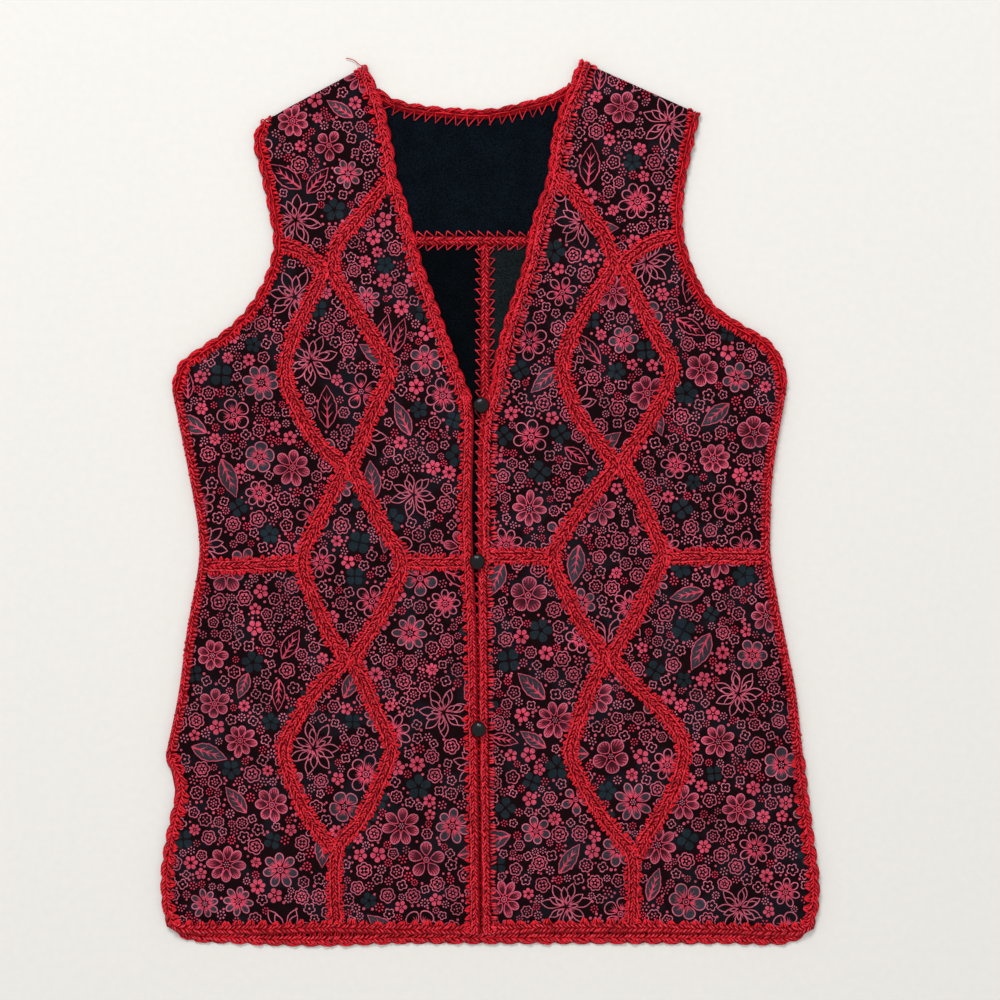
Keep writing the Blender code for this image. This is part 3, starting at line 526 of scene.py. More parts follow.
def big_flower(rng):
    """Five to eight outlined petals at even turns, four rays in each, and stamens or rings in the middle."""
    size = rng.uniform(11.5, 16.0)
    count = int(rng.integers(5, 9))
    half = size * math.sin(math.pi / count) * rng.uniform(0.52, 0.74)
    near, far, rays = [(SLATE, SLATE, True), (GROUND, GROUND, True), (GROUND, PLUM, False)][rng.integers(0, 3)]
    shapes = []
    for k in range(count):
        turn = 2 * math.pi * k / count + rng.uniform(-0.07, 0.07)
        long = size * rng.uniform(0.9, 1.05)
        leaf = petal(size * 0.2, long, half)
        shapes.append((spun(leaf, turn), ROSE, PALE))
        shapes.append((spun(shrunk(leaf, STROKE), turn), near, far))
        for spread in (-0.55, -0.2, 0.15, 0.5):
            if rays:
                ray = wedge(size * 0.26, size * rng.uniform(0.5, 0.72), 0, half * spread, 1.1)
            else:
                ray = wedge(long - 1.5, size * rng.uniform(0.5, 0.68), half * spread * 1.2, half * spread, 1.1)
            shapes.append((spun(ray, turn), ROSE, PINK))
    if rng.uniform() < 0.5:
        shapes += [(ring(size * r, 12), c, c) for r, c in ((0.17, PINK), (0.115, GROUND), (0.06, PINK))]
    else:
        shapes += [(ring(0.6, 5, *p), PALE, PALE) for p in ring(size * 0.12, 6)]
        shapes.append((ring(0.6, 5), PALE, PALE))
    return [(0, 0, size)], shapes


def water_flower(rng):
    """Three rings of outlined, pointed blades, each ring smaller and turned on from the last.

    A blade's half width is 0.19 of its length times the sine of half a turn times the run to a power.
    """
    size = rng.uniform(19, 23)
    shapes = []
    for ring_share, count, offset in ((1.0, 7, 0.0), (0.78, 6, 0.4), (0.5, 5, 0.1)):
        for k in range(count):
            turn = 2 * math.pi * (k + offset) / count + rng.uniform(-0.1, 0.1)
            long = size * ring_share * rng.uniform(0.92, 1.04)
            run, sign = there_and_back(18)
            y = sign * long * 0.19 * np.sin(math.pi * run**1.3)
            blade = np.stack([long * (0.12 + 0.88 * run), y], axis=1)
            shapes.append((spun(blade, turn), PINK, PALE))
            shapes.append((spun(shrunk(blade, STROKE), turn), GROUND, GROUND))
            shapes.append((spun(wedge(long * 0.2, long * 0.5, 0, 0, 1.2), turn), PINK, PINK))
    return [(0, 0, size * 0.9)], shapes


def leaf(rng):
    """An outlined leaf with a midrib and three pairs of veins.

    Its half width is the sine of half a turn times the run to a power, and its edge waves by a sine.
    """
    long = rng.uniform(22, 36)
    half = long * rng.uniform(0.2, 0.25)
    run, sign = there_and_back(44)
    y = sign * half * np.sin(math.pi * run**0.85) * (0.9 + 0.13 * np.abs(np.sin(run * 16 + sign)))
    blade = np.stack([(run - 0.5) * long, y], axis=1)
    fill = [SLATE, SLATE, GROUND][rng.integers(0, 3)]
    shapes = [(blade, PINK, PINK), (shrunk(blade, STROKE), fill, fill)]
    shapes.append((wedge(-long * 0.47, long * 0.34, 0, 0, 1.9), ROSE, PINK))
    for k, x in enumerate((-0.26, -0.08, 0.1)):
        for way in (-1, 1):
            vein = wedge(long * x, long * (x + 0.17), 0, way * half * (0.62 - 0.1 * k), 1.2)
            shapes.append((vein, PINK, PINK))
    return [(x * long, 0, half * 0.95) for x in (-0.3, 0, 0.3)], shapes


def round_flower(rng):
    """An outlined rim of five to eight lobes, a second one inside if it is large, and dots round a middle dot."""
    size = rng.uniform(4.6, 7.4)
    lobes = int(rng.integers(5, 9))
    rim = lobed(size, lobes, 0.2, 4 * lobes)
    shapes = [(rim, PALE, PINK), (rim * (1 - STROKE / size), GROUND, GROUND)]
    dots = int(rng.integers(4, 7))
    if size > 6:
        inner = lobed(size * 0.62, lobes, 0.25, 3 * lobes)
        shapes += [(inner, PINK, PINK), (inner * (1 - 0.75 / (size * 0.62)), GROUND, GROUND)]
    shapes += [(ring(size * 0.13, 5, *p), PINK, PINK) for p in ring(size * 0.38, dots)]
    shapes.append((ring(size * 0.12, 5), PALE, PALE))
    return [(0, 0, size)], shapes


def star_flower(rng):
    """An outlined rim of four or five deep lobes round one dot."""
    size = rng.uniform(3.6, 5.2)
    lobes = int(rng.integers(4, 6))
    rim = lobed(size, lobes, 0.34, 4 * lobes)
    return [(0, 0, size)], [
        (rim, PALE, PALE),
        (rim * (1 - STROKE / size), GROUND, GROUND),
        (ring(size * 0.2, 5), PALE, PALE),
    ]


def solid_flower(rng):
    """Five to seven filled petals at even turns, with or without a dot in the middle."""
    size = rng.uniform(4.4, 6.6)
    count = int(rng.integers(5, 8))
    shape = petal(size * 0.24, size, size * math.sin(math.pi / count) * 0.62, 10)
    shapes = [(spun(shape, 2 * math.pi * k / count), ROSE, PINK) for k in range(count)]
    if rng.uniform() < 0.4:
        shapes.append((ring(size * 0.12, 5), PALE, PALE))
    return [(0, 0, size)], shapes


def dot_flower(rng):
    """Six to eight short filled petals round a dot, all in one ink."""
    size = rng.uniform(2.8, 3.9)
    count = int(rng.integers(6, 9))
    ink = [PINK, PALE, ROSE][rng.integers(0, 3)]
    shape = petal(size * 0.52, size, size * 0.21, 6)
    shapes = [(spun(shape, 2 * math.pi * k / count), ink, ink) for k in range(count)]
    shapes.append((ring(size * 0.2, 5), ink, ink))
    return [(0, 0, size)], shapes


def shadow_flower(rng):
    """Four or five broad petals in the darkest ink, as if printed under the others."""
    size = rng.uniform(6.5, 10.5)
    count = int(rng.integers(4, 6))
    shape = petal(size * 0.16, size, size * math.sin(math.pi / count) * 0.6, 12)
    return [(0, 0, size * 0.85)], [(spun(shape, 2 * math.pi * k / count), SMOKE, SMOKE) for k in range(count)]


def dot(rng):
    """A filled dot."""
    size = rng.uniform(0.9, 1.35)
    return [(0, 0, size)], [(ring(size, 7), PINK, PINK)]


# Columns: motif, how many to a square decimetre at most
MOTIFS = [
    (water_flower, 0.5),
    (big_flower, 3.6),
    (leaf, 1.7),
    (shadow_flower, 2.6),
    (round_flower, 13.0),
    (solid_flower, 6.0),
    (star_flower, 16.0),
    (dot_flower, 60.0),
    (dot, 44.0),
]
TRIES = 150  # places tried for each motif
UNDERSIDE_DENSITY = 0.22  # the print that faces the floor is laid out more thinly
CLEAR = -0.1  # between motifs, whose outlines seldom reach their whole radius
MARGIN = 7.0  # motifs may have their middle this far outside a panel


def laid_out(loop, seed, density=1.0):
    """Motifs strewn over a panel at random, largest first, each where it touches no other.

    Returns a list of outlines with their inks near the motif's middle and far from it, and that middle.
    """
    rng = np.random.default_rng(seed)
    low, high = loop.min(axis=0) - MARGIN, loop.max(axis=0) + MARGIN
    dm2 = np.prod(high - low) / 10000
    placed = np.full((1, 3), -1e6)
    strewn = []
    for motif, amount in MOTIFS:
        for _ in range(round(amount * dm2 * density)):
            circles, shapes = motif(rng)
            circles = np.array(circles, float)
            turn = rng.uniform(0, 2 * math.pi)
            places = rng.uniform(low, high, (TRIES, 2))
            spots = spun(circles[:, :2], turn) + places[:, None]
            away = np.linalg.norm(spots[:, :, None] - placed[None, None, :, :2], axis=-1)
            free = (away > circles[:, 2:] + placed[:, 2] + CLEAR).all(axis=(1, 2))
            if not free.any():
                continue
            k = np.argmax(free)
            placed = np.vstack([placed, np.column_stack([spots[k], circles[:, 2]])])
            shapes = [(spun(shape, turn) + places[k], near, far) for shape, near, far in shapes]
            if inside(np.vstack([shape for shape, _, _ in shapes]), loop).any():
                strewn += [(shape, near, far, places[k]) for shape, near, far in shapes]
    return strewn


# Panels of suede

PANEL_STEP = 6.0  # spacing of the points that carry a panel's relief
TUCK = 0.7  # how far a panel's edge is drawn down by its stitches
TUCK_REACH = 4.0
WRINKLES = 46
PANEL_BACK = 12.0  # spacing of points on a panel's inner face
RIM_STEP = 3.0  # spacing of points round a panel
INK_EASE = 0.6  # power by which a motif's ink turns from its near ink to its far one


def wrinkle_rows():
    """Small creases strewn over the fronts: x, y, direction in radians, length, width and height of each."""
    rng = np.random.default_rng(21)
    ranges = ((-240, 240), (-340, 240), (0, math.pi), (26, 70), (7, 15), (-0.45, 0.75))
    return np.column_stack([rng.uniform(low, high, WRINKLES) for low, high in ranges])


def wrinkled(points):
    """The height that small creases add: each is a product of two bell curves, along it and across it."""
    rise = np.zeros(len(points))
    for x, y, turn, length, width, high in WRINKLE_ROWS:
        along = (points[:, 0] - x) * math.cos(turn) + (points[:, 1] - y) * math.sin(turn)
        across = (points[:, 1] - y) * math.cos(turn) - (points[:, 0] - x) * math.sin(turn)
        rise += high * np.exp(-2 * (along / length) ** 2 - 2 * (across / width) ** 2)
    return rise


def level(points):
    """No relief at all."""
    return np.zeros(len(points))


def tucked(points, loop):
    """How far a panel is drawn down: most at its edge, and less by the square of what is left of the reach."""
    return TUCK * np.clip(1 - distance_to(points, np.vstack([loop, loop[:1]])) / TUCK_REACH, 0, 1) ** 2


def lattice(loop, spacing):
    """Points at even steps in a triangle pattern inside the loop, none close to its edge."""
    low, high = loop.min(axis=0), loop.max(axis=0)
    xs, ys = np.arange(low[0], high[0], spacing), np.arange(low[1], high[1], spacing * math.sqrt(0.75))
    x, y = np.meshgrid(xs, ys)
    x = x + (np.arange(len(ys)) % 2 * spacing / 2)[:, None]
    points = np.stack([x.ravel(), y.ravel()], axis=1)
    points = points[inside(points, loop)]
    return points[distance_to(points, np.vstack([loop, loop[:1]])) > spacing * 0.4]


def finer(loop, step):
    """The closed loop with points added along its straight stretches, none further apart than the step."""
    spans = []
    for a, b in zip(loop, np.roll(loop, -1, axis=0)):
        count = max(1, math.ceil(np.linalg.norm(b - a) / step))
        spans.append(a + (b - a) * (np.arange(count) / count)[:, None])
    return np.vstack(spans)


def divided(loop, points, shapes, edges=()):
    """The loop's inside cut into triangles along the shapes: points, triangles, and the topmost shape of each."""
    parts, faces = [loop, points], [list(range(len(loop)))]
    start = len(loop) + len(points)
    for shape in shapes:
        parts.append(shape[::-1] if clockwise(shape) else shape)
        faces.append(list(range(start, start + len(shape))))
        start += len(shape)
    rows = []
    for row in edges:
        parts.append(row)
        rows += [(start + i, start + i + 1) for i in range(len(row) - 1)]
        start += len(row)
    corners = [Vector(p) for p in np.vstack(parts)]
    flat, _, tris, _, _, origins = delaunay_2d_cdt(corners, rows, faces, 0, 1e-4, True)
    kept = [(tri, max(o)) for tri, o in zip(tris, origins) if 0 in o]
    flat = np.array([tuple(v) for v in flat])
    tris = np.array([tri for tri, _ in kept])
    a, b, c = (flat[tris[:, k]] for k in range(3))
    turn = (b[:, 0] - a[:, 0]) * (c[:, 1] - a[:, 1]) - (b[:, 1] - a[:, 1]) * (c[:, 0] - a[:, 0])
    tris[turn < 0] = tris[turn < 0][:, ::-1]
    real = np.abs(turn) > 1e-9
    used, tris = np.unique(tris[real], return_inverse=True)
    return flat[used], tris.reshape(-1, 3), np.array([o for _, o in kept])[real]


def rim_of(tris):
    """The numbers of the points round the edge of a patch of triangles, in order."""
    sides = np.vstack([tris[:, [0, 1]], tris[:, [1, 2]], tris[:, [2, 0]]])
    there = set(map(tuple, sides.tolist()))
    after = {a: b for a, b in there if (b, a) not in there}
    rim = [next(iter(after))]
    while after[rim[-1]] != rim[0]:
        rim.append(after[rim[-1]])
    return rim


def make_mesh(name, points, faces, colours=None, smooth_to=40.0):
    """A mesh object from points in millimetres, arrays of faces with as many corners each, and corners' inks."""
    mesh = bpy.data.meshes.new(name)
    points = (points - MIDDLE) * MM
    mesh.vertices.add(len(points))
    mesh.vertices.foreach_set("co", points.astype(np.float32).ravel())
    corners = np.concatenate([f.ravel() for f in faces])
    totals = np.concatenate([np.full(len(f), f.shape[1]) for f in faces])
    mesh.loops.add(len(corners))
    mesh.loops.foreach_set("vertex_index", corners.astype(np.int32))
    mesh.polygons.add(len(totals))
    mesh.polygons.foreach_set("loop_start", (np.cumsum(totals) - totals).astype(np.int32))
    mesh.update(calc_edges=True)
    mesh.polygons.foreach_set("use_smooth", np.ones(len(totals), bool))
    mesh.set_sharp_from_angle(angle=math.radians(smooth_to))
    if colours is not None:
        layer = mesh.color_attributes.new("ink", "BYTE_COLOR", "CORNER")
        rgba = np.column_stack([np.vstack(colours) / 255, np.ones(len(corners))])
        layer.data.foreach_set("color_srgb", rgba.astype(np.float32).ravel())
    ob = bpy.data.objects.new(name, mesh)
    bpy.context.scene.collection.objects.link(ob)
    return ob


def inked(flat, tris, topmost, strewn):
    """The ink at each corner of each triangle.

    It goes from its motif's near ink to its far one, by the distance from the motif's middle as a share of the
    shape's own range, to the power of the ease.
    """
    near = np.array([GROUND] + [row[1] for row in strewn], float)
    far = np.array([GROUND] + [row[2] for row in strewn], float)
    middles = np.array([(0, 0)] + [row[3] for row in strewn], float)
    reach = [np.linalg.norm(shape - middle, axis=1) for shape, _, _, middle in strewn]
    least = np.array([0] + [r.min() for r in reach])
    most = np.array([1] + [r.max() for r in reach])
    away = np.linalg.norm(flat[tris] - middles[topmost][:, None], axis=-1)
    span = (most - least + 0.01)[topmost][:, None]
    share = ((away - least[topmost][:, None]) / span).clip(0, 1)[..., None] ** INK_EASE
    return near[topmost][:, None] * (1 - share) + far[topmost][:, None] * share


def panel(name, loop, place, seed, outside=1, edges=(), relief=level):
    """A suede panel: a closed shell with the print on its outer face and a plain inner face.

    The outer face is the pattern cut into triangles along the print's outlines. The inner face has the same rim.
    """
    if clockwise(loop):
        loop = loop[::-1]
    strewn = laid_out(loop, seed, 1.0 if outside > 0 else UNDERSIDE_DENSITY)
    shapes = [row[0] for row in strewn]
    flat, tris, topmost = divided(finer(loop, RIM_STEP), lattice(loop, PANEL_STEP), shapes, edges)
    ink = inked(flat, tris, topmost, strewn)

    rim = np.array(rim_of(tris))
    back_flat, back_tris, _ = divided(flat[rim], lattice(loop, PANEL_BACK), [], edges)
    order = {tuple(np.round(p, 3)): k for k, p in enumerate(back_flat)}
    rise = relief(flat) - tucked(flat, loop)
    back_rise = relief(back_flat) - tucked(back_flat, loop)
    front_face, back_face = place(flat, -rise * outside), place(back_flat, LEATHER - back_rise * outside)
    below = np.array([order[tuple(np.round(p, 3))] for p in flat[rim]]) + len(flat)
    sides = np.stack([rim, below, np.roll(below, -1), np.roll(rim, -1)], axis=1)
    faces = [tris, back_tris[:, ::-1] + len(flat), sides]
    if outside < 0:
        faces = [f[:, ::-1] for f in faces]
        ink = ink[:, ::-1]
    plain = [np.tile(INSIDE.get(name, LINING), (f.size, 1)) for f in faces[1:]]
    ob = make_mesh(name + "_suede", np.vstack([front_face, back_face]), faces, [ink.reshape(-1, 3), *plain])
    ob.data.materials.append(SUEDE)
    ob.data.materials.append(FLESH)
    ob.data.polygons.foreach_set("material_index", np.repeat([0, 1], [len(tris), len(back_tris) + len(rim)]))
    a, b = loop, np.roll(loop, -1, axis=0)
    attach(ob, "root")
    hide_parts(name)


# Crochet: a ground of packed stitches, and the strands that show on it

# The bright red is the yarn's own; the darker reds and the pale pink below stand in for light: painted shade and
# painted highlight
BRIGHT = srgb("ff2032")
# darker red at the low points of strands: painted shade; also the red of the whole loose end
MID = srgb("e61222")
# darkest red, where scallop ends and the roots of puffs dip low: painted shade
DEEP_SHADE = srgb("68000a")
# dark red of the packed stitches that lie deep between the strands: painted shade
PACKED_SHADE = srgb("9e0516")
# pale pink on the crests of arches and where strands run into the leather: painted highlight
TIP_HIGHLIGHT = srgb("f64658")
TRACK_STEP = 1.5
TUBE_SIDES = 4
LOOSE_END = [(-99.5, 350.0), (-103.5, 352.5), (-106.5, 355.2), (-110.5, 356.8), (-113.5, 357.2)]
LOOSE_END_RADIUS = 0.36
GROUND_COLUMNS = 7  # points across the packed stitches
GROUND_LAP = 0.6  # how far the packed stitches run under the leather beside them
GROUND_DROP = 1.2  # from the solid's face down to the packed stitches between the strands
GROUND_BULGE = 0.7  # how much lower they lie at their edges
SLIT_SCALLOPS_FROM = -335.0  # the fronts' hems have scallops above this, along the slits
ZIGZAG_FROM = -38.0  # the left front's edge shows its zigzag above this
EDGE_SHIFT = ([-60.0, -35.0], [-3.0, 0.0])  # heights, and how far the left front's edge stitches move over there
ZIGZAG_PITCH = 8.1
YARN_WOBBLE = np.array([0.5, 0.32, 0.22])[:, None, None]  # of a strand along, across and upwards


class Track:
    """One crochet piece: a line that its stitches follow, the function that sets pattern points in place, and the
    strands laid so far.

    The line is held as fine points at even steps, with the way to the left at each.
    """

    def __init__(self, name, line, place):
        self.name, self.source, self.place = name, np.asarray(line, float), place
        self.line = smooth(line, TRACK_STEP)
        self.left = unit(sideways(self.line))
        self.run = np.r_[0, np.cumsum(np.linalg.norm(np.diff(self.line, axis=0), axis=1))]
        self.rng = np.random.default_rng(list(name.encode()))
        self.strands = []
        self.shift = np.zeros(len(self.run))

    def plan(self, s, t):
        """Pattern points that lie s along the line and t to its left, with the stitches' shift added there."""
        t = t + np.interp(s, self.run, self.shift)
        p = np.stack([np.interp(s, self.run, self.line[:, k]) for k in range(2)], axis=-1)
        left = np.stack([np.interp(s, self.run, self.left[:, k]) for k in range(2)], axis=-1)
        return p + left * t[..., None]

    def steps(self, pitch, above=-math.inf, below=math.inf):
        """The middles of even steps along the line, as a column, where the line lies between these heights."""
        count = max(1, round(self.run[-1] / pitch))
        s = (np.arange(count) + 0.5) * self.run[-1] / count
        y = np.interp(s, self.run, self.line[:, 1])
        return s[(y > above) & (y < below)][:, None]

    def add(self, s, t, z, radius, ink):
        """Strands through points s along, t to the left and z above the solid's face; radius and ink for each."""
        s, t, z = np.broadcast_arrays(s, t, z)
        jitter = self.rng.normal(size=(3, len(s), 1)) * YARN_WOBBLE
        s, t, z = s + jitter[0], t + jitter[1], z + jitter[2]
        flat = self.plan(s, t)
        paths = self.place(flat.reshape(-1, 2), -z.ravel()).reshape(*s.shape, 3)
        radii = np.broadcast_to(radius, s.shape) * self.rng.uniform(0.88, 1.14, (len(s), 1))
        shade = self.rng.uniform(0.72, 1.14, (len(s), 1, 1))
        self.strands.append((paths, radii, np.clip(np.broadcast_to(ink, (*s.shape, 3)) * shade, 0, 255)))

    def finish(self, widths, start=None, end=None, to_floor=False):
        """The piece as one mesh: its ground, between these widths and cut along these ways, and its strands.

        A ground that goes to the floor closes the vest's side over both layers.
        """
        points, faces = ground(self.source, widths, self.place, start, end)
        if to_floor:
            points[len(points) // 2 :, 2] = 0.0
        parts, quads, ends = [points], [faces], []
        # the ground gets the darker red: painted shade between the strands
        colours, end_colours = [np.tile(PACKED_SHADE, (faces.size, 1))], []
        first = len(points)
        for strand in self.strands:
            more, walls, tips, ink = tubes(*strand)
            parts.append(more)
            quads.append(walls + first)
            ends.append(tips + first)
            colours.append(ink[walls.ravel()])
            end_colours.append(ink[tips.ravel()])
            first += len(more)
        points = np.vstack(parts)
        points[:, 2] = np.maximum(points[:, 2], 0.0)
        faces = [np.vstack(quads), np.vstack(ends)]
        ob = make_mesh(self.name + "_yarn", points, faces, [*colours, *end_colours], smooth_to=100.0)
        ob.data.materials.append(YARN)
        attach(ob, "root")
        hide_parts(self.name)


def tubes(paths, radii, inks):
    """Closed strands: round each point of a path a ring, with one radius to the side and upwards, and flat ends.

    Returns points, four-sided faces, end faces and the inks of their corners, which are darker further down:
    painted shade on the strand's sides and underside, with a little painted highlight on its top.
    """
    way = unit(np.gradient(paths, axis=1))
    side = unit(np.cross(way, np.array([0.0, 0.0, 1.0])))
    up = np.cross(side, way)
    a = np.arange(TUBE_SIDES) * 2 * math.pi / TUBE_SIDES + math.pi / 2
    spokes = side[:, :, None] * np.cos(a)[:, None] + up[:, :, None] * np.sin(a)[:, None]
    points = paths[:, :, None] + spokes * radii[:, :, None, None]
    number = np.arange(points.size // 3).reshape(points.shape[:3])
    a0, a1 = number[:, :-1], number[:, 1:]
    walls = np.stack([a0, a1, np.roll(a1, -1, axis=2), np.roll(a0, -1, axis=2)], axis=-1).reshape(-1, 4)
    ends = np.concatenate([number[:, 0], number[:, -1, ::-1]])
    # painted shade: the ring's lower corners darker, its top a little lighter
    shade = np.interp(np.sin(a), [-0.8, 0.3, 1.0], [0.3, 0.72, 1.08])
    ink = np.clip(inks[:, :, None] * shade[:, None], 0, 255).reshape(-1, 3)
    return points.reshape(-1, 3), walls, ends, ink


# The rows of stitches. Along the line, across it and upwards, a stitch's points are these numbers times its pitch,
# its width or its radius, so one table of four or so points draws them all


def ridge(track, t0=0.0, half=3.0, pitch=3.1, high=0.9, radius=0.66):
    """A chain of V stitches: from the middle each arm rises and leans outwards and on along the line."""
    s = track.steps(pitch)
    lean = np.array([-0.1, 0.35, 0.75, 1.1]) * pitch
    rise = np.array([-0.3, high, high * 0.9, -0.3])
    # darker red where the arms dip, pale pink near their crest: painted shade and painted highlight
    ink = np.array([MID, BRIGHT, TIP_HIGHLIGHT, BRIGHT])
    for side in (1, -1):
        out = np.array([0.1, 0.32, 0.68, 1.0]) * half * side
        track.add(s + lean + side * pitch * 0.12, t0 + out, rise, radius * np.array([0.85, 1.15, 1.1, 0.85]), ink)


def links(track, t0, pitch=2.7, slant=0.7, radius=0.74):
    """A row of short stitches along the line, each an arch that overlaps the next."""
    run = np.array([-0.75, -0.3, 0.3, 0.75])
    rise = np.array([-0.5, 0.55, 0.6, -0.4])
    # darker red at the arch's feet, pale pink at its crest: painted shade and painted highlight
    ink = np.array([MID, BRIGHT, TIP_HIGHLIGHT, MID])
    thick = radius * np.array([0.8, 1.05, 1.1, 0.8])
    track.add(track.steps(pitch) + run * pitch, t0 + slant * run, rise, thick, ink)


def spikes(track, hole, root, pitch=4.2, wide=3.4, strands=2, radius=0.82, low=-1.2, high=0.4):
    """Wedges of strands: they start side by side at the ridge and run together into a hole in the leather."""
    s = track.steps(pitch)
    s = s + track.rng.uniform(-0.7, 0.7, s.shape)
    reach = hole + np.sign(hole - root) * track.rng.uniform(-1.6, 0.9, s.shape)
    lean = track.rng.uniform(-0.3, 1.5, s.shape)
    run = np.array([0.0, 0.35, 0.75, 1.0])
    rise = np.array([-0.6, high, high - 0.1, low])
    # darker red at the root, pale pink where the strands run into the leather: painted shade and painted highlight
    ink = np.array([MID, BRIGHT, BRIGHT, TIP_HIGHLIGHT])
    for k in range(strands):
        off = (k / (strands - 1) - 0.5) * wide
        along = s + off * (1 - run * 0.7) + lean * run
        across = root + (reach - root) * run
        track.add(along, across, rise, radius * np.array([0.9, 1.1, 1.0, 0.6]), ink)


def puffs(track, near, far, pitch=9.0, strands=3, radius=0.85):
    """Fat loops side by side in groups that fan out a little, with rounded ends."""
    s = track.steps(pitch)
    s = s + track.rng.uniform(-0.5, 0.5, s.shape)
    lean = track.rng.uniform(-1.6, 1.2, s.shape)
    reach = far + np.sign(far - near) * track.rng.uniform(-1.2, 0.6, s.shape)
    run = np.array([0.0, 0.3, 0.7, 1.0])
    rise = np.array([-0.6, 0.7, 0.7, -0.8])
    # darkest red at the root, pale pink at the crest: painted shade and painted highlight
    ink = np.array([DEEP_SHADE, BRIGHT, TIP_HIGHLIGHT, BRIGHT])
    for k in range(strands):
        off = (k / (strands - 1) - 0.5) * pitch * 0.62
        along = s + off * (1 - 0.25 * run) + lean * run
        across = near + (reach - near) * run
        track.add(along, across, rise, radius * np.array([0.8, 1.0, 1.15, 0.75]), ink)


def scallop_arcs(track, out, low=0.0, **heights):
    """Shells along an edge: three strands that wind round each other along each scallop's arc, and one inside them.

    Each strand's distance from the arc, across and upwards, is a sine and cosine of the way along. Its ends dip,
    and how far, and how much thinner and darker they get, are powers of the distance from the scallop's middle.
    The darkening is painted shade on the ends that dip low.
    """
    s = track.steps(SCALLOP_PITCH, **heights)
    run = np.linspace(-0.6, 0.6, 13)
    aside = np.abs(run / 0.6)
    bow = np.cos(run * math.pi * 0.82) * 1.2 - 0.2
    dip = -1.5 * aside**4
    thick = 0.66 * (1 - 0.4 * aside**3)
    # the ends turn from the bright red to the darkest: painted shade where they dip
    ink = np.outer(1 - aside**4, BRIGHT) + np.outer(aside**4, DEEP_SHADE)
    along = run * SCALLOP_PITCH
    for k in range(3):
        phase = 2 * math.pi * (1.3 * run + k / 3)
        across = out * (bow * 2.1 - 1.95 + 1.0 * np.sin(phase))
        track.add(s + along, across, 0.1 + low + dip + 0.6 * np.cos(phase), thick, ink)
    track.add(s + 0.4 * SCALLOP_PITCH + along, out * (bow * 0.5 - 3.9), low + 0.1 + dip, thick, ink)


def loose_end(track):
    """The yarn's cut end, which lies in a bow beyond the shoulder: a smooth line that comes down evenly."""
    plan = smooth(LOOSE_END, TRACK_STEP)
    rise = np.interp(np.arange(len(plan)), [0, len(plan) - 1], [2.6, 1.0])
    ink = np.tile(np.array(MID, float), (1, len(plan), 1))
    track.strands.append((np.column_stack([plan, rise])[None], np.full((1, len(plan)), LOOSE_END_RADIUS), ink))


def zigzag(track, root, hole, radius=0.5, **heights):
    """Single strands on the wrong side: up steeply to a hole, and slanting back to the ridge."""
    s = track.steps(ZIGZAG_PITCH, **heights)
    across = root + (hole - root) * np.array([0.0, 0.5, 1.0])
    # darker red at the ridge, pale pink at the hole: painted shade and painted highlight
    ink = np.array([MID, BRIGHT, TIP_HIGHLIGHT])
    track.add(s + np.array([-1.6, -1.3, -0.9]), across, np.array([-0.3, 0.2, -0.4]), radius, ink)
    track.add(s + np.array([5.4, 2.3, -0.7]), across, np.array([-0.3, 0.25, -0.4]), radius, ink)


def ground(line, widths, place, start, end):
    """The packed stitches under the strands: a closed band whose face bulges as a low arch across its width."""
    across = np.linspace(0, 1, GROUND_COLUMNS)
    side = sideways(line)
    for k, way, cut in ((0, line[1] - line[0], start), (-1, line[-1] - line[-2], end)):
        if cut is not None:
            side[k] = cut / (cut @ left_of(unit(way)))
    first, last = sorted((np.broadcast_to(w, len(line)) for w in widths), key=np.mean)
    first, last = first - GROUND_LAP, last + GROUND_LAP
    t = first[:, None] * (1 - across) + last[:, None] * across
    flat = (line[:, None] + side[:, None] * t[..., None]).reshape(-1, 2)
    drop = np.tile(GROUND_DROP + GROUND_BULGE * (2 * across - 1) ** 2, (len(line), 1)).ravel()
    face, back = place(flat, drop), place(flat, np.full(len(flat), CROCHET))
    number = np.arange(len(flat)).reshape(len(line), -1)
    quads = np.stack([number[:-1, :-1], number[1:, :-1], number[1:, 1:], number[:-1, 1:]], axis=-1).reshape(-1, 4)
    rim = np.r_[number[:-1, 0], number[-1, :-1], number[1:, -1][::-1], number[0, 1:][::-1]]
    below = rim + len(flat)
    sides = np.stack([rim, below, np.roll(below, -1), np.roll(rim, -1)], axis=1)
    return np.vstack([face, back]), np.vstack([quads, quads[:, ::-1] + len(flat), sides])


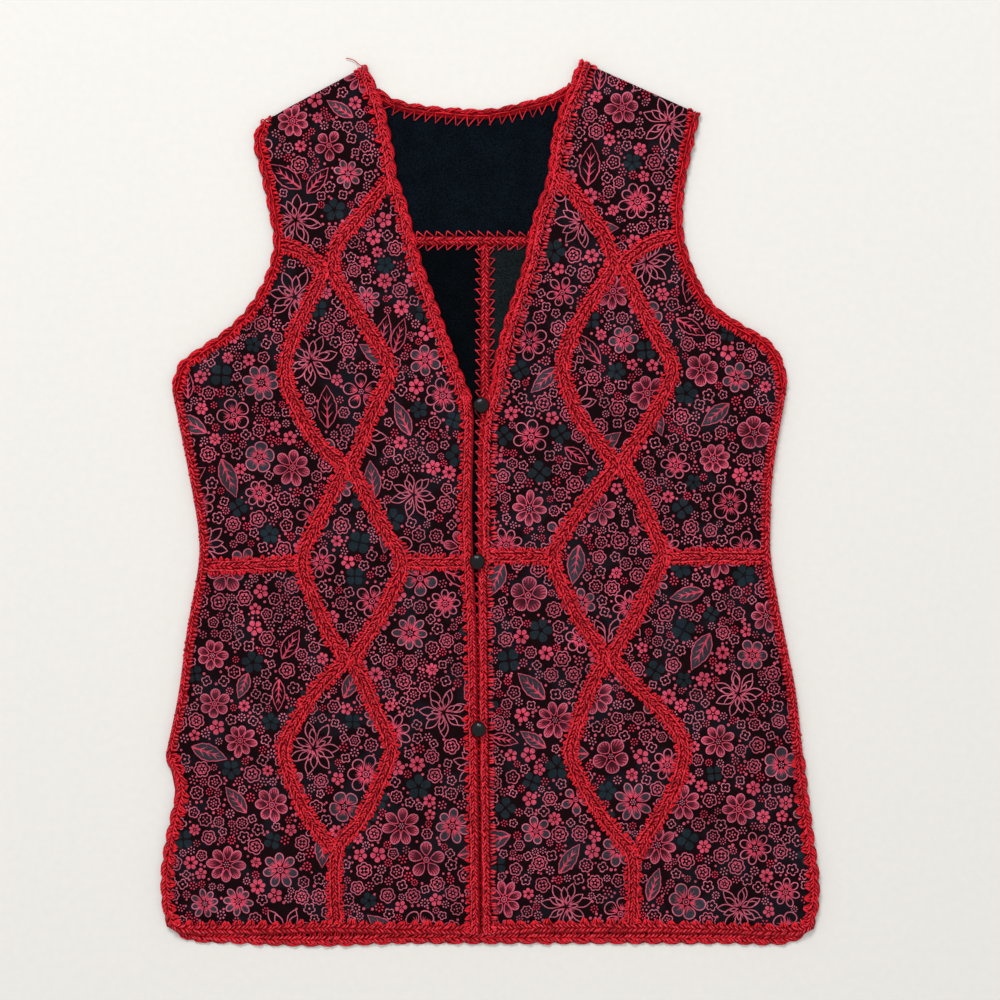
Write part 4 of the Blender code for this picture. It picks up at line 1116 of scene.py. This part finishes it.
class Front:
    """One front: its seams and edges as lines, worked out once, for the pieces that lie between them."""

    def __init__(self, side, table, mirror, back_neck_end, back_neck_way):
        self.side, self.mirror = side, mirror
        self.seed = 100 + 20 * mirror  # of its shoulder's print; the other panels' seeds follow
        self.outward = np.array([-float(mirror), 0.0])
        self.shoulder = Shoulder(table["fold"])
        fine = SCALLOP_PITCH / 3

        start = self.shoulder.under(back_neck_end)
        line = smooth([start, *table["edge"]], fine)
        self.neck_cut = self.reflected(left_of(back_neck_way))
        line, out = scalloped(line, (self.shoulder.depth(line) > FOLD_RADIUS) & (line[:, 1] > NECK_SCALLOPS_TO))
        line[0] += unit(line[1] - line[0]) * EDGING_END
        self.edge, self.edge_out = line, out
        self.edge_inner = beside(line, -mirror * (EDGING + GAP))
        self.edge_leather = beside(coarse(line), -mirror * (EDGING + EDGE_GAP))

        back = self.shoulder.under(table["back armhole"])
        tip = self.shoulder.tip(table["shoulder tip"])
        line = smooth([*back, tip, *table["armhole"][1:]], fine)
        line, out = scalloped(line, self.shoulder.depth(line) > 0)
        ends = shortened(line)
        kept = np.array([any(np.allclose(p, q) for q in ends[1:-1]) for p in line])
        self.arm, self.arm_out = ends, np.r_[0.0, out[kept], 0.0]
        self.arm_inner = beside(ends, mirror * (EDGING + GAP))
        self.arm_leather = beside(coarse(ends), mirror * (EDGING + EDGE_GAP))

        self.side_line = shortened(smooth(table["side"], SIDE_STEP), clear=2.0)
        self.side_leather = beside(self.side_line, mirror * (SIDE_ROLL + GAP))

        line = smooth(table["slit"] + table["hem"][1:], fine)
        line, _ = cut_by(line, last=self.edge_inner, half=0.5)
        line = shortened(line, clear=3.0)
        self.hem, self.hem_out = scalloped(line, np.full(len(line), True))
        self.hem_inner = beside(self.hem, mirror * (EDGING + GAP))
        self.hem_leather = beside(coarse(self.hem), mirror * (EDGING + EDGE_GAP))

        tips = np.array(table["tips"], float)
        stretches = [
            np.array(table["neck yoke"][:-1], float),
            np.array(table["top diamond, front"], float),
            np.array(table["middle diamond, front"], float),
            np.array([*table["low diamond, front"], *table["hem seam"]], float),
        ]
        line, bends = turned(stretches, tips[:3], -self.outward)
        marks = line[bends]
        self.front_braid, self.front_cuts = cut_by(line, self.edge_inner, self.hem_inner)
        self.front_marks = self.numbers(self.front_braid, marks)
        self.front_to_diamonds = beside(self.front_braid, -mirror * (BRAID + GAP))
        self.front_to_edge = beside(self.front_braid, mirror * (BRAID + GAP))

        stretches = [
            np.array(table["arm yoke"][:-1], float),
            np.array(table["top diamond, side"], float),
            np.array(table["middle diamond, side"], float),
            np.array([*table["low diamond, side"], table["tips"][3]], float),
        ]
        line, bends = turned(stretches, tips[:3], self.outward)
        marks = line[bends]
        self.side_braid, self.side_cuts = cut_by(line, self.arm_inner, self.front_to_diamonds)
        self.side_marks = self.numbers(self.side_braid, marks)
        self.side_to_diamonds = beside(self.side_braid, mirror * (BRAID + GAP))
        self.side_to_side = beside(self.side_braid, -mirror * (BRAID + GAP))

        self.waist_side, self.waist_side_cuts = cut_by(
            smooth(table["waist, side"]), self.side_leather, self.side_to_side
        )
        self.waist_front, self.waist_front_cuts = cut_by(
            smooth(table["waist, front"]), self.front_to_edge, self.edge_inner
        )

        ends = np.array(table["fold"], float) + self.shoulder.inward * BACK_LAP
        if mirror < 0:
            ends = ends[::-1]
        self.seam, self.seam_cuts = cut_by(
            smooth(ends), self.shoulder.under(self.arm_inner), self.shoulder.under(self.edge_inner)
        )

    @staticmethod
    def numbers(line, points):
        """The number of the line's point nearest each of these."""
        return [int(np.argmin(np.linalg.norm(line - p, axis=1))) for p in points]

    def reflected(self, way):
        """A way on the back as it points in the pattern, mirrored at the fold."""
        n = self.shoulder.inward
        return way - 2 * (way @ n) * n

    def waist(self, line, sign):
        """A line above or below a waist braid."""
        return beside(line, self.mirror * sign * (BRAID + GAP))

    def seam_beside(self, sign):
        """A line beside the shoulder seam: with sign 1 towards the fold, with -1 down the back."""
        return beside(self.seam, self.mirror * sign * (BRAID + GAP))

    def fold_ends(self):
        """Two points on the fold's line, past the crochet at both sides."""
        reach = FOLD_REACH * self.shoulder.along
        return self.shoulder.start - reach, self.shoulder.end + reach

    def panel(self, name, number, *lines):
        """A panel that lies on the front, between these lines."""
        place = on_front(LEATHER_INSET)
        panel(f"{self.side}_{name}", outline(*lines), place, self.seed + number, relief=wrinkled)

    def make_panels(self):
        s, f = self.side_marks, self.front_marks
        rows = self.shoulder.rows(*self.fold_ends())
        loop = outline(
            self.arm_leather,
            self.side_to_diamonds[: s[0] + 1],
            self.front_to_diamonds[: f[0] + 1][::-1],
            self.edge_leather[::-1],
            self.shoulder.under(self.seam_beside(1))[::-1],
        )
        place = self.shoulder.place(LEATHER_INSET)
        panel(f"{self.side}_shoulder", loop, place, self.seed, edges=rows)
        for number, (name, k) in enumerate((("top_diamond", 0), ("middle_diamond", 1)), 1):
            self.panel(
                name,
                number,
                self.side_to_diamonds[s[k] : s[k + 1] + 1],
                self.front_to_diamonds[f[k] : f[k + 1] + 1][::-1],
            )
        self.panel("low_diamond", 3, self.side_to_diamonds[s[2] :], self.front_to_diamonds[f[2] :][::-1])
        self.panel(
            "upper_side",
            4,
            self.arm_leather,
            self.side_leather,
            self.waist(self.waist_side, 1),
            self.side_to_side[::-1],
        )
        self.panel(
            "lower_side",
            5,
            self.waist(self.waist_side, -1)[::-1],
            joined(self.side_leather, self.hem_leather),
            self.front_to_diamonds[f[2] :][::-1],
            self.side_to_side[::-1],
        )
        self.panel(
            "upper_front",
            6,
            self.front_to_edge,
            self.waist(self.waist_front, 1),
            self.edge_leather[::-1],
        )
        self.panel(
            "lower_front",
            7,
            self.front_to_edge,
            self.hem_leather,
            self.edge_leather[::-1],
            self.waist(self.waist_front, -1)[::-1],
        )

    def make_crochet(self):
        self.make_edgings()
        self.make_braids()

    def make_edgings(self):
        """The crochet along the front edge and neck, the armhole, and the hem with its slit."""
        m, round_fold, on_top = self.mirror, self.shoulder.place(0.0), on_front(0.0)

        track = Track(f"{self.side}_front_edging", self.edge, round_fold)
        scallop_arcs(track, m, above=NECK_SCALLOPS_TO)
        if m > 0:
            ridge(track, -3.0, half=2.2, pitch=2.7, radius=0.62)
            links(track, -6.0, slant=-0.7)
            spikes(track, -10.8, -7.0, pitch=8.0, wide=5.6, strands=3)
            loose_end(track)
        else:
            track.shift = np.interp(track.line[:, 1], *EDGE_SHIFT)
            ridge(track, 6.6, half=2.2, pitch=2.7, radius=0.62)
            links(track, 4.0)
            zigzag(track, 3.4, -0.6, radius=0.62, above=ZIGZAG_FROM)
            puffs(track, 9.4, 14.6)
        track.finish((m * self.edge_out, -m * EDGING), self.neck_cut)

        track = Track(f"{self.side}_armhole_edging", self.arm, round_fold)
        scallop_arcs(track, -m)
        spikes(track, m * 8.6, m * 4.6, wide=4.0)
        track.finish((-m * self.arm_out, m * EDGING), self.reflected(ACROSS), ACROSS)

        track = Track(f"{self.side}_hem_edging", self.hem, on_top)
        scallop_arcs(track, -m, above=SLIT_SCALLOPS_FROM)
        ridge(track, m * 2.9, half=3.0)
        spikes(track, m * 10.0, m * 5.4, pitch=10.0, wide=8.0, strands=5, radius=0.7)
        track.finish((-m * self.hem_out, m * EDGING), ACROSS, unit(self.edge[-1] - self.edge[-2]))

    def make_braids(self):
        """The crochet that joins the panels to each other and to the back."""
        m, on_top = self.mirror, on_front(0.0)
        braids = [
            ("side_braid", self.side_braid, self.side_cuts),
            ("front_braid", self.front_braid, self.front_cuts),
            ("waist_side_braid", self.waist_side, self.waist_side_cuts),
            ("waist_front_braid", self.waist_front, self.waist_front_cuts),
        ]
        for name, line, cuts in braids:
            track = Track(f"{self.side}_{name}", line, on_top)
            ridge(track, half=1.9, pitch=2.7, radius=0.6)
            for side in (1, -1):
                links(track, side * 3.5, slant=side * 0.7)
                spikes(track, side * 7.0, side * 4.2, pitch=4.6, wide=3.2, radius=0.86)
            track.finish(BRAID_COLUMNS, *cuts)

        track = Track(f"{self.side}_side_seam", self.side_line, on_top)
        ridge(track, m * 1.9, half=2.0, radius=0.64)
        puffs(track, m * 3.4, m * 7.6, pitch=6.5, strands=2, radius=0.7)
        track.finish((0.0, m * SIDE_ROLL), ACROSS, ACROSS, to_floor=True)

        track = Track(f"{self.side}_shoulder_seam", self.seam, on_back(CROCHET))
        ridge(track)
        track.finish(BRAID_COLUMNS, *self.seam_cuts)


def make_back(right, left):
    """The back, inside up: plain suede above, the print below, and the crochet's wrong side."""
    edge_right, edge_left = (f.shoulder.under(f.edge_leather) for f in (right, left))
    arm_right, arm_left = (f.shoulder.under(f.arm_leather) for f in (right, left))
    arm_cut_right, arm_cut_left = (f.shoulder.under(f.arm_inner) for f in (right, left))

    neck = shortened(smooth(BACK_NECK[1:-1], SCALLOP_PITCH / 3), clear=3.0)
    neck, neck_out = scalloped(neck, np.full(len(neck), True))
    way_in, way_out = neck_ways()
    hem = shortened(smooth(BACK_HEM, SCALLOP_PITCH / 3), clear=3.0)
    hem, hem_out = scalloped(hem, np.abs(hem[:, 1]) > BACK_SCALLOPS_FROM)
    yoke_line = smooth([(-180, BACK_YOKE_Y), (0, BACK_YOKE_Y), (180, BACK_YOKE_Y)], 30.0)
    yoke_line, yoke_cuts = cut_by(yoke_line, arm_cut_right, arm_cut_left)
    yoke_up, yoke_down = beside(yoke_line, BRAID + GAP), beside(yoke_line, -BRAID - GAP)
    centre = smooth([(BACK_CENTRE_X, BACK_YOKE_Y), (BACK_CENTRE_X, 0), (BACK_CENTRE_X, -351)], 30.0)
    centre, centre_cuts = cut_by(centre, yoke_down, beside(hem, EDGING + GAP))

    hem_line = beside(coarse(hem), EDGING + EDGE_GAP)
    loops = {
        "back_yoke": outline(
            right.seam_beside(-1),
            edge_right[::-1],
            beside(coarse(neck), -EDGING - EDGE_GAP),
            edge_left,
            left.seam_beside(-1)[::-1],
            arm_left[::-1],
            yoke_up[::-1],
            arm_right,
        ),
        "back_right": outline(
            yoke_down,
            beside(centre, -BRAID - GAP),
            joined(right.side_leather, hem_line)[::-1],
            arm_right,
        ),
        "back_left": outline(
            yoke_down,
            arm_left[::-1],
            joined(left.side_leather, hem_line[::-1]),
            beside(centre, BRAID + GAP)[::-1],
        ),
    }
    for number, (name, loop) in enumerate(loops.items()):
        panel(name, loop, on_floor, 300 + number, outside=-1)

    flat_back = on_back(CROCHET)
    track = Track("back_neck_edging", neck, flat_back)
    scallop_arcs(track, 1)
    zigzag(track, -4.5, -12.0)
    track.finish((neck_out, -EDGING), left_of(way_in), left_of(way_out))

    track = Track("back_hem_edging", hem, flat_back)
    scallop_arcs(track, -1, low=-0.6, below=-BACK_SCALLOPS_FROM)
    ridge(track, 3.6, half=3.0, high=0.5, radius=0.8)
    spikes(track, 12.0, 5.6, pitch=4.6, wide=3.2, radius=0.8, high=-0.9)
    track.finish((-hem_out, EDGING), ACROSS, ACROSS)

    for name, line, cuts in (
        ("back_yoke_braid", yoke_line, yoke_cuts),
        ("back_centre_braid", centre, centre_cuts),
    ):
        track = Track(name, line, flat_back)
        ridge(track, half=2.6, high=0.4, radius=0.6)
        zigzag(track, 2.8, 7.6)
        zigzag(track, -2.8, -7.6)
        track.finish(BRAID_COLUMNS, *cuts)


def on_floor(points, deeper):
    """Sets plan points on the back's outer face, which lies on the floor, or deeper, which is higher up."""
    return np.column_stack([points, np.maximum(deeper, 0.0)])


# Finishes. A noise's scale counts its clumps to a metre, so 1000 over it is their size in millimetres

SUEDE_BLOTCH = 55.0  # 18 mm: the dye's cloudiness
SUEDE_PATCH = 38.0  # 26 mm: where the ground shows bluer
SUEDE_NAP = 1100.0  # 0.9 mm, coarser than real nap, so that it shows
YARN_FIBRE = 900.0  # 1.1 mm: the twist of the plies, drawn a little coarse
BUTTON_CLOUD = 240.0  # 4 mm
FELT_CLOUD = 160.0  # 6 mm
SLATE_TINT = (0.001, 0.005, 0.007)  # linear, added to the print's ground in patches
FLOOR_DROP = 0.0003
FLOOR_HALF = 2.5


def linear(text):
    """The linear colour that a shader takes, from a colour's sRGB hex value."""
    values = [v / 255 for v in srgb(text)]
    return (*(v / 12.92 if v <= 0.04045 else ((v + 0.055) / 1.055) ** 2.4 for v in values), 1.0)


def add(material, kind, settings=None, links=None):
    """Adds a node with its settings, and links its inputs to other nodes' outputs."""
    node = material.node_tree.nodes.new(kind)
    for key, value in (settings or {}).items():
        if isinstance(key, int) or key in node.inputs:
            node.inputs[key].default_value = value
        else:
            setattr(node, key, value)
    for key, socket in (links or {}).items():
        material.node_tree.links.new(socket, node.inputs[key])
    return node


def new_material(name, settings):
    """A material and its shader, with these of its sockets set."""
    m = bpy.data.materials.new(name)
    m.use_nodes = True
    shader = m.node_tree.nodes["Principled BSDF"]
    for key, value in settings.items():
        shader.inputs[key].default_value = value
    return m, shader


def join(m, shader, sockets):
    """Links a shader's inputs, by name, to other nodes' outputs."""
    for key, socket in sockets.items():
        m.node_tree.links.new(socket, shader.inputs[key])


def make_suede(name, patches, tone, gloss):
    """Split suede: leather whose raised nap is brushed up and dyed or printed.

    The nap scatters light, so it looks dull and deep, finely speckled, with faint clouds of dye. Its tone varies by
    this share. The print's ground is bluer in patches.
    """
    m, shader = new_material(name, {
        "Roughness": 0.9, "Specular IOR Level": gloss, "Sheen Weight": 0.01, "Sheen Roughness": 0.5,
    })
    ink = add(m, "ShaderNodeVertexColor", {"layer_name": "ink"})
    here = {"Vector": add(m, "ShaderNodeTexCoord").outputs["Object"]}
    blotch = add(m, "ShaderNodeTexNoise", {"Scale": SUEDE_BLOTCH, "Detail": 3.0}, here)
    nap = add(m, "ShaderNodeTexNoise", {"Scale": SUEDE_NAP, "Detail": 2.0}, here)
    mottle = add(m, "ShaderNodeMapRange", {"From Min": 0.3, "From Max": 0.7, "To Min": 0.72, "To Max": 1.25},
                 {"Value": blotch.outputs["Fac"]})
    speckle = {"From Min": 0.3, "From Max": 0.7, "To Min": 1 - tone, "To Max": 1 + tone}
    grain = add(m, "ShaderNodeMapRange", speckle, {"Value": nap.outputs["Fac"]})
    both = add(m, "ShaderNodeMath", {"operation": "MULTIPLY"}, {0: mottle.outputs[0], 1: grain.outputs[0]})
    base = add(m, "ShaderNodeVectorMath", {"operation": "SCALE"},
               {0: ink.outputs["Color"], "Scale": both.outputs[0]})
    if patches:
        cloud = add(m, "ShaderNodeTexNoise", {"Scale": SUEDE_PATCH, "Detail": 1.0}, here)
        patch = add(m, "ShaderNodeMapRange", {"From Min": 0.52, "From Max": 0.62},
                    {"Value": cloud.outputs["Fac"]})
        slate = add(m, "ShaderNodeVectorMath", {"operation": "SCALE", 0: SLATE_TINT},
                    {"Scale": patch.outputs[0]})
        base = add(m, "ShaderNodeVectorMath", {"operation": "ADD"}, {0: base.outputs[0], 1: slate.outputs[0]})
    bump = add(m, "ShaderNodeBump", {"Strength": 0.35, "Distance": 0.0004}, {"Height": nap.outputs["Fac"]})
    join(m, shader, {"Base Color": base.outputs[0], "Normal": bump.outputs["Normal"]})
    return m


def make_yarn():
    """Cotton yarn, plied and dyed red, crocheted.

    Its fibres break up the light along each strand, so that it looks streaked and a little fuzzy, with a soft
    lustre.
    """
    m, shader = new_material("plied_cotton_yarn", {
        "Roughness": 0.6, "Specular IOR Level": 0.12, "Sheen Weight": 0.02, "Sheen Roughness": 0.4,
    })
    ink = add(m, "ShaderNodeVertexColor", {"layer_name": "ink"})
    here = {"Vector": add(m, "ShaderNodeTexCoord").outputs["Object"]}
    fibre = add(m, "ShaderNodeTexNoise", {"Scale": YARN_FIBRE, "Detail": 3.0}, here)
    shade = add(m, "ShaderNodeMapRange", {"From Min": 0.3, "From Max": 0.7, "To Min": 0.66, "To Max": 1.44},
                {"Value": fibre.outputs["Fac"]})
    base = add(m, "ShaderNodeVectorMath", {"operation": "SCALE"},
               {0: ink.outputs["Color"], "Scale": shade.outputs[0]})
    bump = add(m, "ShaderNodeBump", {"Strength": 0.5, "Distance": 0.0003}, {"Height": fibre.outputs["Fac"]})
    join(m, shader, {"Base Color": base.outputs[0], "Normal": bump.outputs["Normal"]})
    return m


def make_button_finish():
    """Polyester, moulded and polished, near black: a small sharp highlight, dulled in faint clouds by handling."""
    m, shader = new_material("moulded_polyester", {"Specular IOR Level": 0.3})
    here = {"Vector": add(m, "ShaderNodeTexCoord").outputs["Object"]}
    cloud = add(m, "ShaderNodeTexNoise", {"Scale": BUTTON_CLOUD, "Detail": 3.0}, here)
    tone = add(m, "ShaderNodeMix", {"data_type": "RGBA", 6: linear("030405"), 7: linear("101214")},
               {"Factor": cloud.outputs["Fac"]})
    rough = add(m, "ShaderNodeMapRange", {"To Min": 0.14, "To Max": 0.34}, {"Value": cloud.outputs["Fac"]})
    join(m, shader, {"Base Color": tone.outputs[2], "Roughness": rough.outputs[0]})
    return m


def make_floor():
    """The floor: pressed wool felt, off-white, matt and faintly clouded."""
    m, shader = new_material("pressed_felt", {"Roughness": 0.95, "Specular IOR Level": 0.1})
    here = {"Vector": add(m, "ShaderNodeTexCoord").outputs["Object"]}
    felt = add(m, "ShaderNodeTexNoise", {"Scale": FELT_CLOUD, "Detail": 5.0}, here)
    tone = add(m, "ShaderNodeMix", {"data_type": "RGBA", 6: linear("efede9"), 7: linear("f6f4f0")},
               {"Factor": felt.outputs["Fac"]})
    join(m, shader, {"Base Color": tone.outputs[2]})
    mesh = bpy.data.meshes.new("floor")
    h = FLOOR_HALF
    mesh.from_pydata([(-h, -h, 0), (h, -h, 0), (h, h, 0), (-h, h, 0)], [], [(0, 1, 2, 3)])
    mesh.materials.append(m)
    ob = bpy.data.objects.new("floor", mesh)
    ob.location.z = -FLOOR_DROP
    bpy.context.scene.collection.objects.link(ob)


WRINKLE_ROWS = wrinkle_rows()
SUEDE = make_suede("printed_suede", True, 0.4, 0.08)
FLESH = make_suede("plain_suede", False, 0.85, 0.03)
YARN = make_yarn()
make_floor()

right_way, left_way = neck_ways()
right_front = Front("right", RIGHT_FRONT, 1, BACK_NECK[1], right_way)
left_front = Front("left", LEFT_FRONT, -1, BACK_NECK[-2], left_way)
for front in (right_front, left_front):
    front.make_panels()
    front.make_crochet()
make_back(right_front, left_front)

button_finish = make_button_finish()
for name in ("button_top", "button_middle", "button_low"):
    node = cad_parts[name]
    node.data.materials.clear()
    node.data.materials.append(button_finish)

# Camera straight above, with the photograph's scale of 0.8 mm to a pixel on the fronts
LENS = 85.0
SENSOR = 36.0
FRAME = 0.8  # metres across the picture
FRONTS_UP = 0.0045  # height of the fronts, where that scale holds
LOOKS_AT = np.array([10.0, 3.2])  # the pattern's point in the middle of the picture
camera = bpy.data.cameras.new("camera")
camera.lens = LENS
camera.sensor_width = SENSOR
view = bpy.data.objects.new("camera", camera)
view.location = (*(LOOKS_AT - MIDDLE[:2]) * MM, FRAME * LENS / SENSOR + FRONTS_UP)
bpy.context.scene.collection.objects.link(view)
bpy.context.scene.camera = view

# Soft studio light from beyond the neck, a little from the left
world = bpy.data.worlds.new("studio")
world.use_nodes = True
background = world.node_tree.nodes["Background"]
background.inputs["Color"].default_value = (1.0, 0.99, 0.97, 1.0)
background.inputs["Strength"].default_value = 0.63
bpy.context.scene.world = world
lamp = bpy.data.lights.new("softbox", "AREA")
lamp.shape = "RECTANGLE"
lamp.size = 1.8
lamp.size_y = 0.9
lamp.energy = 99.0
softbox = bpy.data.objects.new("softbox", lamp)
softbox.location = (-0.9, 3.0, 2.9)
softbox.rotation_euler = (Vector((0, 0, 0)) - softbox.location).to_track_quat("-Z", "Y").to_euler()
bpy.context.scene.collection.objects.link(softbox)
bpy.context.scene.view_settings.view_transform = "Standard"
